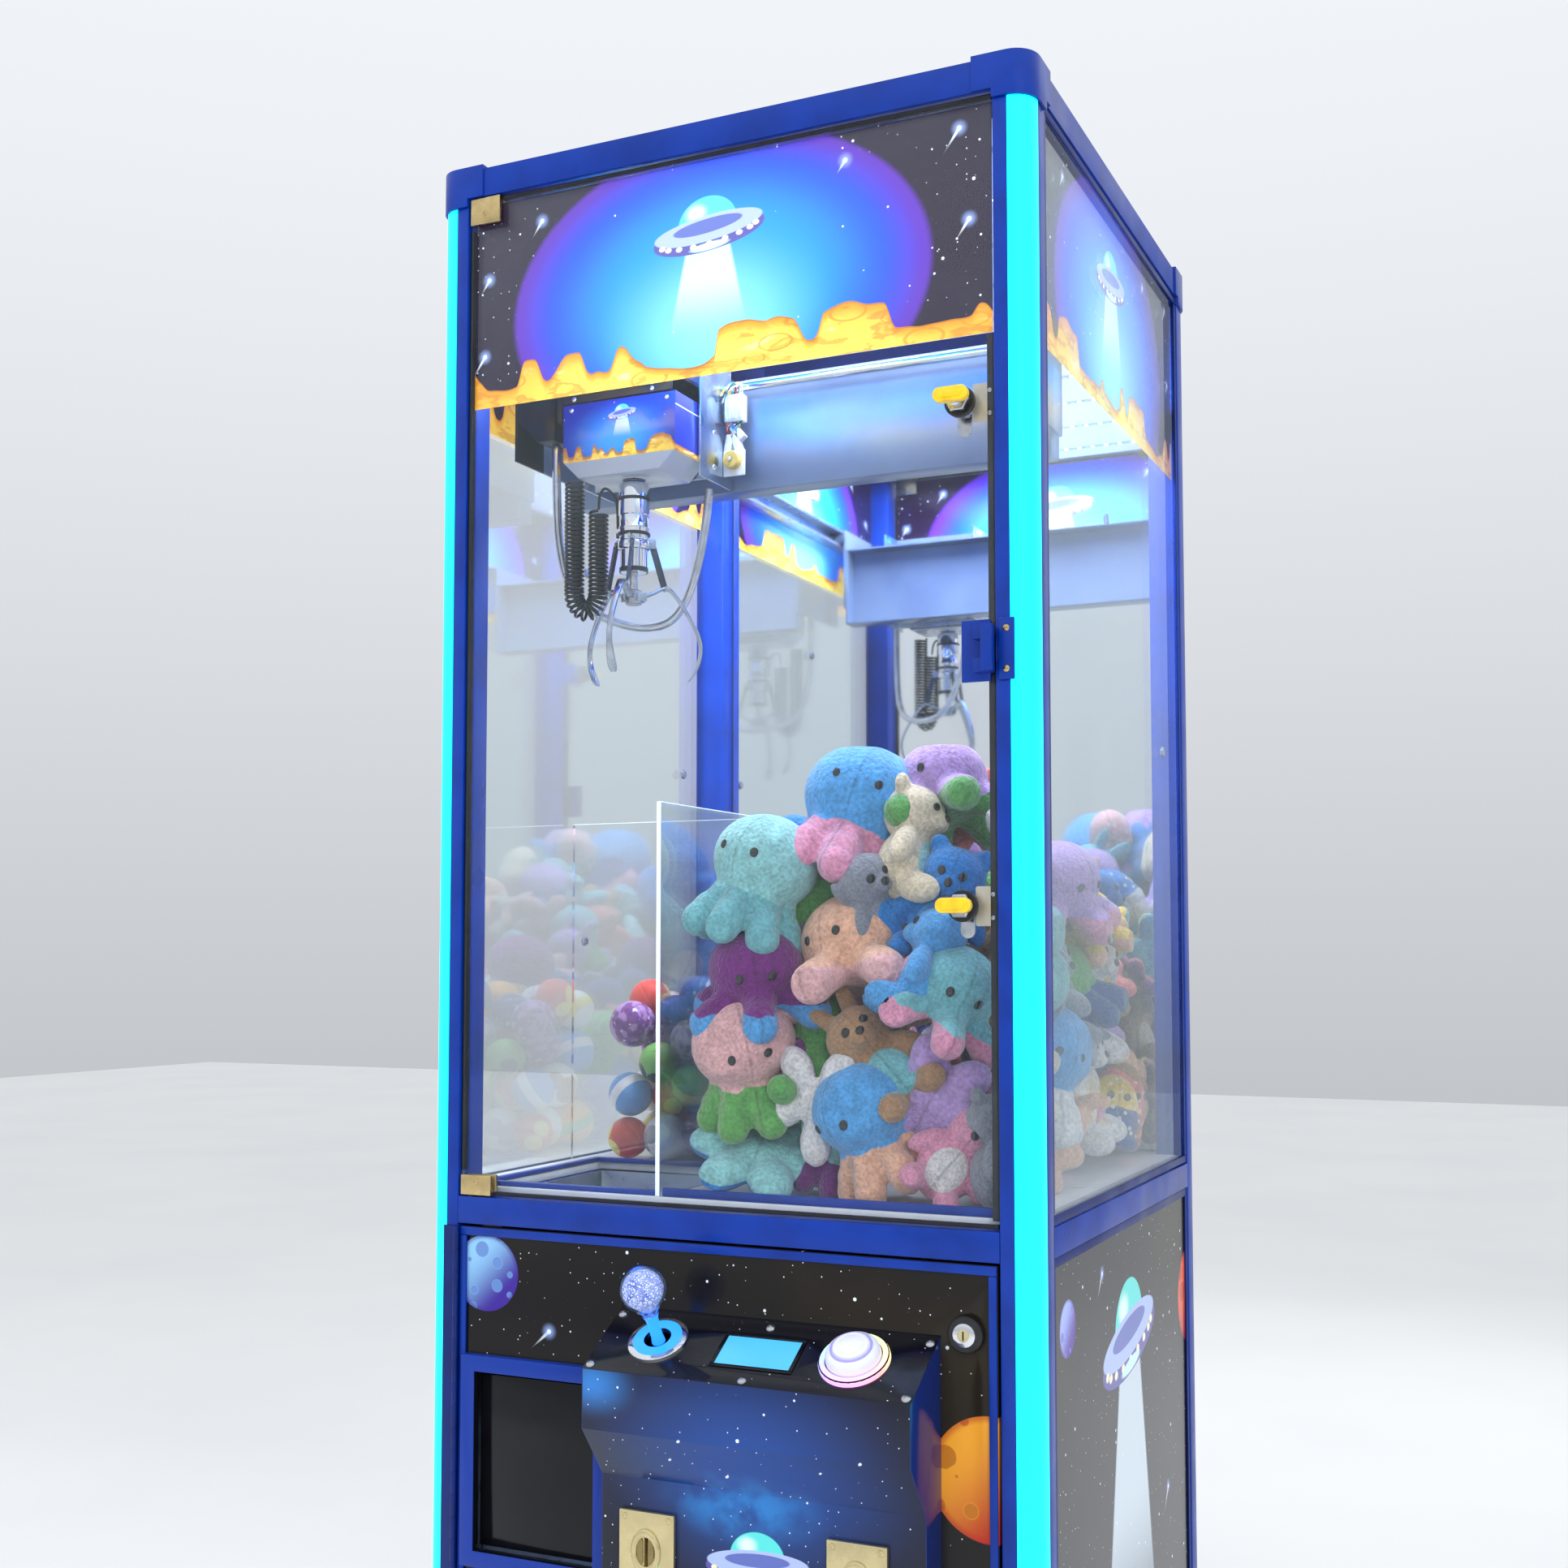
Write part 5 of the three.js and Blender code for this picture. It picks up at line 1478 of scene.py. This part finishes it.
# blobs, and where the bead eyes and nose go
TOYS = {
    "limbed": (limbs(7, 54, 58, 18, 64), ((23, -56, 36), (-23, -56, 36))),
    "splayed": (limbs(6, 76, 26, 20, 60), ((21, -52, 34), (-21, -52, 34))),
    "bear": (BODY + ARMS_AND_LEGS + mirrored(((35, 2, 108), (16, 10, 16), STRAIGHT)), FACE),
    "rabbit": (BODY + ARMS_AND_LEGS + mirrored(((20, 2, 122), (13, 8, 36), (0, 14, 0))), FACE),
    "dog": (BODY + ARMS_AND_LEGS + mirrored(((46, 4, 68), (9, 15, 30), (0, 18, 0))), FACE),
    "flower": (petals(6, 46, 32, 0), ()),
    "star": (petals(5, 50, 30, 0), ()),
    "egg": (
        [
            ((0, 0, 0), (40, 40, 54), STRAIGHT), ((0, 0, -16), (44, 44, 40), STRAIGHT),
        ] + mirrored(((26, -6, -50), (17, 22, 13), STRAIGHT)),
        ((13, -40, 12), (-13, -40, 12)),
    ),
    "cushion": ([((x, 0, z), (34, 20, 34), STRAIGHT) for x in (-26, 0, 26) for z in (-26, 0, 26)], ()),
}


def blob_mesh(name, blobs, voxel=4.2):
    """Blobs melted into one skin."""
    soup = bmesh.new()
    for centre, radii, turn in blobs:
        turn = Euler([math.radians(a) for a in turn]).to_matrix().to_4x4()
        place = Matrix.Translation([c * MM for c in centre]) @ turn @ Matrix.Diagonal(
            (*[r * MM for r in radii], 1)
        )
        bmesh.ops.create_icosphere(soup, subdivisions=3, radius=1, matrix=place)
    rough = mesh_of(soup, name + "_blobs")
    holder = linked(name + "_blobs", rough)
    remesh = holder.modifiers.new("skin", "REMESH")
    remesh.mode = "VOXEL"
    remesh.voxel_size = voxel * MM
    smooth = holder.modifiers.new("soften", "SMOOTH")
    smooth.factor = 0.5
    smooth.iterations = 7
    skin = bpy.data.meshes.new_from_object(holder.evaluated_get(bpy.context.evaluated_depsgraph_get()))
    bpy.data.objects.remove(holder)
    bpy.data.meshes.remove(rough)
    return skin


PLUSH_COLOURS = {
    "teal": (0.20, 0.55, 0.62), "aqua": (0.33, 0.72, 0.75), "blue": (0.02, 0.25, 0.72),
    "sky": (0.10, 0.42, 0.88),
    "navy": (0.02, 0.08, 0.38), "purple": (0.20, 0.02, 0.24), "lilac": (0.52, 0.35, 0.75),
    "pink": (0.85, 0.36, 0.55),
    "rose": (0.86, 0.50, 0.52), "peach": (0.90, 0.52, 0.36), "white": (0.84, 0.84, 0.86),
    "cream": (0.84, 0.74, 0.55),
    "tan": (0.45, 0.27, 0.15), "grey": (0.28, 0.31, 0.38), "yellow": (0.88, 0.62, 0.10),
    "green": (0.14, 0.46, 0.12),
    "coral": (0.85, 0.25, 0.24),
}
EYE = plain("bead_eye", (0.008, 0.006, 0.006), 0.06, 0, 0.8, 4, 0.7, 0.03)
plush_cache = {}


def plush(colour, second, style):
    """The pile of a toy in one or two colours, made once for each pair."""
    key = (colour, second, style)
    if key not in plush_cache:
        where = {"lower": lower_half, "belly": belly, "inner": inner_side}.get(style, lower_half)
        plush_cache[key] = plush_paint(
            f"plush_{colour}_{second}_{style}", PLUSH_COLOURS[colour],
            PLUSH_COLOURS.get(second), where, (0.9, 0.86, 0.84) if style == "dots" else None,
        )
    return plush_cache[key]


DECK_TOP = 824


def room_limits(place):
    """The lowest and highest corner that a toy may fill, from where its middle is."""
    x, y, _ = place
    low = Vector((-67 if y < 300 and x > -70 else -318, 307 if x < -66 else 25, DECK_TOP + 0.5))
    high = Vector((321 if y < 70 else 352, 699, 1331))
    return low, high


def settle_in_room(mesh, low, high, skin=0.2, give=8.0):
    """Moves a toy inside its room and flattens what still presses on the walls. All is in metres."""
    points = np.empty(len(mesh.vertices) * 3)
    mesh.vertices.foreach_get("co", points)
    points = points.reshape(-1, 3)
    low, high = (np.array(at(*corner)) for corner in (low, high))
    least, most = points.min(0), points.max(0)
    room = np.minimum(give * MM, (most - least) * 0.06)
    points += np.maximum(low - room - least, 0) + np.minimum(high + room - most, 0)
    points = np.clip(points, low + skin * MM, high - skin * MM)
    mesh.vertices.foreach_set("co", points.ravel())
    mesh.update()


def remember_place(mesh):
    """Keeps each point's present place in OWN_PLACE, for local paints."""
    points = np.empty(len(mesh.vertices) * 3, np.float32)
    mesh.vertices.foreach_get("co", points)
    mesh.attributes.new(OWN_PLACE, "FLOAT_VECTOR", "POINT").data.foreach_set("vector", points)


def eye_beads(name, mesh, rest_tree, eyes):
    """Small flat beads on a toy's face, wherever its skin went."""
    beads = bmesh.new()
    for eye in eyes:
        _, _, face, _ = rest_tree.find_nearest(Vector(eye) * MM)
        polygon = mesh.polygons[face]
        turn = Vector(UP).rotation_difference(polygon.normal).to_matrix().to_4x4()
        bmesh.ops.create_uvsphere(
            beads, u_segments=14, v_segments=10, radius=EYE_RADIUS * MM,
            matrix=Matrix.Translation(polygon.center) @ turn @ Matrix.Diagonal((1, 1.15, 0.55, 1)),
        )
    return put(mesh_of(beads, name), EYE)


def put(mesh, material):
    """A prize, or its eyes, in the cabinet."""
    mesh.materials.append(material)
    mesh.shade_smooth()
    thing = linked(mesh.name, mesh)
    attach(thing, "cabinet")
    return thing


EYE_RADIUS = 5.0
toy_skins = {name: blob_mesh(name, blobs) for name, (blobs, _) in TOYS.items()}
toy_trees = {}
for name, skin in toy_skins.items():
    skin_copy = bmesh.new()
    skin_copy.from_mesh(skin)
    toy_trees[name] = BVHTree.FromBMesh(skin_copy)
    skin_copy.free()
    remember_place(skin)


def toy(number, kind, place, turn, size, colour, second=None, style="lower"):
    """One soft toy: its skin pressed into its place, and its bead eyes."""
    blobs, eyes = TOYS[kind]
    mesh = toy_skins[kind].copy()
    mesh.name = f"toy_{number:02d}"
    mesh.materials.clear()
    spin = Euler([math.radians(a) for a in turn]).to_matrix().to_4x4()
    middle = sum((Vector(c) for c, _, _ in blobs), Vector()) / len(blobs)
    mesh.transform(
        Matrix.Translation(at(*place)) @ spin @ Matrix.Scale(size, 4) @ Matrix.Translation(-middle * MM)
    )
    settle_in_room(mesh, *room_limits(place))
    thing = put(mesh, plush(colour, second, style))
    if eyes:
        eye_beads(f"toy_{number:02d}_eyes", mesh, toy_trees[kind], eyes)
    return thing


# kind, place of the middle, turn, size, colours: what shows through the front and the right side
PLACED = [
    ("limbed", (-4, 92, 1142), (-12, 14, -14), 1.00, "aqua", "teal", "lower"),
    ("splayed", (-2, 62, 1042), (14, -6, 24), 0.92, "purple", "sky", "lower"),
    ("limbed", (6, 84, 942), (18, -12, 30), 0.94, "rose", "green", "lower"),
    ("flower", (18, 62, 866), (-64, 12, 10), 1.12, "blue", "aqua", "inner"),
    ("splayed", (128, 84, 1066), (-6, -16, -18), 1.08, "peach", "rose", "lower"),
    ("limbed", (96, 150, 1210), (-16, 18, 8), 1.14, "sky", "pink", "lower"),
    ("splayed", (206, 190, 1268), (-8, -22, -24), 0.95, "lilac", "green", "lower"),
    ("egg", (-14, 190, 1180), (0, 30, 0), 1.05, "blue", None, "lower"),
    ("bear", (228, 120, 1150), (6, 20, 14), 0.78, "blue", "sky", "belly"),
    ("splayed", (232, 92, 1030), (20, 24, 40), 0.86, "teal", "pink", "lower"),
    ("flower", (226, 80, 934), (10, 30, 12), 0.98, "aqua", "lilac", "inner"),
    ("limbed", (168, 84, 872), (26, -10, -30), 0.92, "sky", "peach", "lower"),
    ("star", (98, 66, 930), (4, 22, -6), 0.9, "lilac", "white", "inner"),
    ("rabbit", (262, 60, 868), (-8, 40, 16), 0.7, "pink", "white", "belly"),
    ("bear", (292, 300, 1052), (0, -16, 84), 0.9, "grey", "white", "belly"),
    ("rabbit", (284, 500, 1056), (4, 10, 78), 1.0, "white", "grey", "belly"),
    ("dog", (272, 620, 986), (-4, 14, 96), 0.98, "tan", "cream", "belly"),
    ("limbed", (292, 232, 930), (8, 12, 60), 0.98, "sky", "white", "lower"),
    ("bear", (292, 430, 940), (0, -8, 92), 0.95, "white", "cream", "belly"),
    ("rabbit", (290, 330, 862), (70, 10, 80), 0.8, "peach", "white", "belly"),
    ("egg", (296, 575, 872), (8, 6, 84), 0.98, "coral", None, "dots"),
    ("dog", (288, 150, 880), (10, -14, 66), 0.74, "white", "sky", "belly"),
    ("splayed", (284, 374, 1150), (14, -8, 70), 0.9, "lilac", "pink", "lower"),
    ("egg", (250, 300, 1222), (4, -12, 40), 0.9, "cream", None, "lower"),
    ("flower", (300, 660, 900), (0, 20, 88), 0.9, "yellow", "peach", "inner"),
]
# middle x and y, reach in x and y, and height of the heap's mounds, whose round sides go on below the deck
MOUND_ROOT = 120
MOUNDS = [
    (20, 110, 210, 240, 410), (190, 240, 250, 280, 510), (170, 520, 300, 300, 400),
    (-170, 520, 260, 300, 270),
    (-230, 400, 180, 180, 320),
]


def heap_top(x, y):
    """Height of the heap's surface."""
    best = 0.0
    for cx, cy, rx, ry, height in MOUNDS:
        left = 1 - ((x - cx) / rx) ** 2 - ((y - cy) / ry) ** 2
        if left > 0:
            best = max(best, (height + MOUND_ROOT) * math.sqrt(left) - MOUND_ROOT)
    return DECK_TOP - 0.4 + best


HEAP_SEED = 71
SMALL_TOYS = 80
MOST_TRIES = 9000
TOY_RADIUS = 62
SECOND_STYLE = {
    "bear": "belly", "rabbit": "belly", "dog": "belly", "star": "inner", "flower": "inner", "egg": "dots",
}


def fill_heap():
    """Smaller toys over the rest of the heap's surface and down its sides, where they show."""
    rng = random.Random(HEAP_SEED)
    taken = [(Vector(place), TOY_RADIUS * size) for _, place, _, size, *_ in PLACED]
    kinds = ["bear", "rabbit", "dog", "egg", "star", "flower", "cushion", "limbed", "splayed"]
    colours = sorted(PLUSH_COLOURS)
    found = []
    for _ in range(MOST_TRIES):
        x, y = rng.uniform(-300, 330), rng.uniform(60, 680)
        size = rng.uniform(0.64, 0.88)
        radius = TOY_RADIUS * size
        top = heap_top(x, y) - radius * 0.8
        at_side = x < -190 or x > 250 or y < 120 or y > 620
        z = max(top - rng.uniform(0, 600 if at_side else radius), DECK_TOP + radius * 0.75)
        place = Vector((x, y, z))
        if x < -40 and y < 500 or z > top + radius * 0.5:
            continue
        if any((place - other).length < (radius + reach) * 0.64 for other, reach in taken):
            continue
        taken.append((place, radius))
        kind = rng.choice(kinds)
        colour, second = rng.sample(colours, 2)
        turn = tuple(rng.uniform(-40, 40) for _ in range(2)) + (rng.uniform(-80, 100),)
        found.append((kind, tuple(place), turn, size, colour, second, SECOND_STYLE.get(kind, "lower")))
        if len(found) == SMALL_TOYS:
            break
    return found


for number, row in enumerate(PLACED + fill_heap(), 1):
    toy(number, *row)


def ball_paint(name, colour, second, pattern, gloss=0.25):
    """Printed rubber with a dark moulding line."""
    paint = Paint(name, colour, gloss, 0, 0.3, local=True)
    if pattern == "panels":
        paint.layer(second, ramp(distance(paint.x, paint.z, 0, 0, 12, 12), 1.06, 0.98))
        paint.layer(second, ramp((paint.x * 0.8 + paint.y * 0.6).absolute(), 24, 25))
    elif pattern == "bands":
        paint.layer(second, ramp(paint.z.absolute(), 7.5, 6.8))
    elif pattern == "marble":
        paint.layer(second, ramp(paint.noise(13, 5.0), 0.48, 0.56))
        paint.layer((0.8, 0.8, 0.85), ramp(paint.noise(9, 3.0), 0.64, 0.7))
    elif pattern == "glitter":
        far, pick = paint.cells(paint.x, paint.z, 17)
        paint.layer(second, ramp(far, 0.16, 0.08) * ramp(pick, 0.3, 0.5))
    paint.layer(tuple(c * 0.5 for c in colour), ramp(paint.y.absolute(), 0.5, 0.2) * 0.8)
    paint.rough(gloss, gloss + 0.2, 12)
    return paint.done()


BALL_LOOKS = [
    ((0.85, 0.85, 0.80), (0.88, 0.70, 0.05), "bands"), ((0.75, 0.06, 0.03), (0.9, 0.75, 0.1), "panels"),
    ((0.82, 0.82, 0.84), (0.40, 0.42, 0.46), "panels"), ((0.02, 0.03, 0.12), (0.10, 0.08, 0.34), "marble"),
    ((0.9, 0.38, 0.04), (0.10, 0.40, 0.08), "bands"), ((0.24, 0.55, 0.12), (0.02, 0.06, 0.03), "panels"),
    ((0.02, 0.09, 0.45), (0.65, 0.75, 1.0), "glitter"), ((0.20, 0.03, 0.26), (0.5, 0.25, 0.6), "marble"),
    ((0.85, 0.82, 0.74), (0.32, 0.16, 0.07), "panels"), ((0.16, 0.50, 0.10), (0.75, 0.85, 0.2), "bands"),
    ((0.10, 0.35, 0.80), (0.85, 0.85, 0.9), "bands"), ((0.55, 0.58, 0.66), (0.2, 0.22, 0.3), "marble"),
]
# lowest and highest corner of where balls may lie
BALL_BIN = (np.array((-319.0, 306.0, DECK_TOP)), np.array((-72.0, 470.0, 2000.0)))
BALL_SEED = 12
GROOVE_WIDTH = 1.2
GROOVE_DEPTH = 0.02


def settle(places, radii, steps=900):
    """Lets balls drop and roll until they lie on each other in their bin."""
    low, high = BALL_BIN
    places = places.copy()
    reach = radii[:, None] + radii[None, :]
    for step in range(steps):
        places[:, 2] -= 1.6 * (1 - step / steps)
        for _ in range(3):
            apart = places[:, None, :] - places[None, :, :]
            far = np.sqrt((apart**2).sum(2)) + np.eye(len(radii)) * 1e6 + 1e-9
            overlap = np.maximum(reach - far, 0)
            places += (apart / far[:, :, None] * overlap[:, :, None]).sum(1) * 0.42
            places = np.clip(places, low + radii[:, None], high - radii[:, None])
    return places


def balls(count=46):
    """Hollow rubber balls with a moulding groove round them, in a pile behind the guard."""
    rng = random.Random(BALL_SEED)
    radii = np.array([rng.uniform(27, 31.5) for _ in range(count)])
    starts = np.array([(rng.uniform(-280, -110), rng.uniform(335, 440), 860 + 13 * i) for i in range(count)])
    skins = [ball_paint(f"ball_skin_{i}", *look) for i, look in enumerate(BALL_LOOKS)]
    for number, (place, radius) in enumerate(zip(settle(starts, radii), radii), 1):
        ball = bmesh.new()
        bmesh.ops.create_uvsphere(ball, u_segments=48, v_segments=32, radius=radius * MM)
        for vertex in ball.verts:
            vertex.co *= 1 - GROOVE_DEPTH * math.exp(-((vertex.co.y / MM / GROOVE_WIDTH) ** 2))
        mesh = mesh_of(ball, f"ball_{number:02d}")
        remember_place(mesh)
        turn = Euler([rng.uniform(-1, 1) for _ in range(3)]).to_matrix().to_4x4()
        mesh.transform(Matrix.Translation(at(*place)) @ turn)
        thing = put(mesh, skins[(number * 5) % len(skins)])
        if number == 1:
            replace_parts(thing, "prize_heap")


balls()


# ------------------------------------------------------------------ lights and floor
def area_light(name, place, target, size, power, colour, size_y=None):
    """A soft light that the camera and reflections don't see. size is in metres."""
    data = bpy.data.lights.new(name, "AREA")
    data.shape = "RECTANGLE"
    data.size = size
    data.size_y = size_y or size
    data.energy = power
    data.color = colour
    light = bpy.data.objects.new(name, data)
    light.location = at(*place)
    light.rotation_euler = (Vector(target) - Vector(place)).to_track_quat("-Z", "Y").to_euler()
    light.visible_camera = False
    light.visible_glossy = False
    bpy.context.scene.collection.objects.link(light)
    return light


# place, what it points at, size, watts and colour
area_light("key", (2600, -2600, 2700), (0, 300, 1000), 2.2, 58, (1.0, 0.98, 0.95))
area_light("fill", (-2600, -2200, 1900), (0, 300, 900), 2.4, 28, (0.93, 0.96, 1.0))
area_light("back", (600, 3300, 2600), (0, 300, 1100), 2.0, 34, (0.95, 0.97, 1.0))
ceiling_lamp = area_light("ceiling_lamp", (0, 360, 1978), (0, 360, 800), 0.56, 21, (0.90, 0.95, 1.0), 0.52)
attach(ceiling_lamp, "cabinet")


def floor_material():
    paint = Paint("studio_floor", (0.80, 0.80, 0.79), 0.55)
    paint.layer((0.76, 0.76, 0.755), ramp(paint.noise(900, 3.0), 0.3, 0.8))
    return paint.done()


# metres
FLOOR_HALF = 12
FLOOR_GAP = 0.0005


def studio_floor():
    """A plain pale floor."""
    mesh = bpy.data.meshes.new("floor")
    corners = [(x * FLOOR_HALF, y * FLOOR_HALF, 0) for x, y in ((-1, -1), (1, -1), (1, 1), (-1, 1))]
    mesh.from_pydata(corners, [], [(0, 1, 2, 3)])
    mesh.materials.append(floor_material())
    floor = linked("floor", mesh)
    floor.location.z = cad_box[0].z - FLOOR_GAP


def surroundings():
    """Pale surroundings, brighter above, and plain colours in the picture."""
    world = bpy.data.worlds.new("studio")
    world.use_nodes = True
    background = world.node_tree.nodes["Background"]
    background.inputs["Color"].default_value = (0.82, 0.85, 0.89, 1)
    tree = world.node_tree
    place = tree.nodes.new("ShaderNodeTexCoord")
    split = tree.nodes.new("ShaderNodeSeparateXYZ")
    tree.links.new(place.outputs["Generated"], split.inputs[0])
    height = Field(tree, split.outputs[2])
    feed(background.inputs["Strength"], ramp(height, -0.35, 0.6, 0.55, 1.1))
    bpy.context.scene.world = world
    bpy.context.scene.view_settings.view_transform = "Standard"
    bpy.context.scene.cycles.transparent_max_bounces = 24


studio_floor()
surroundings()
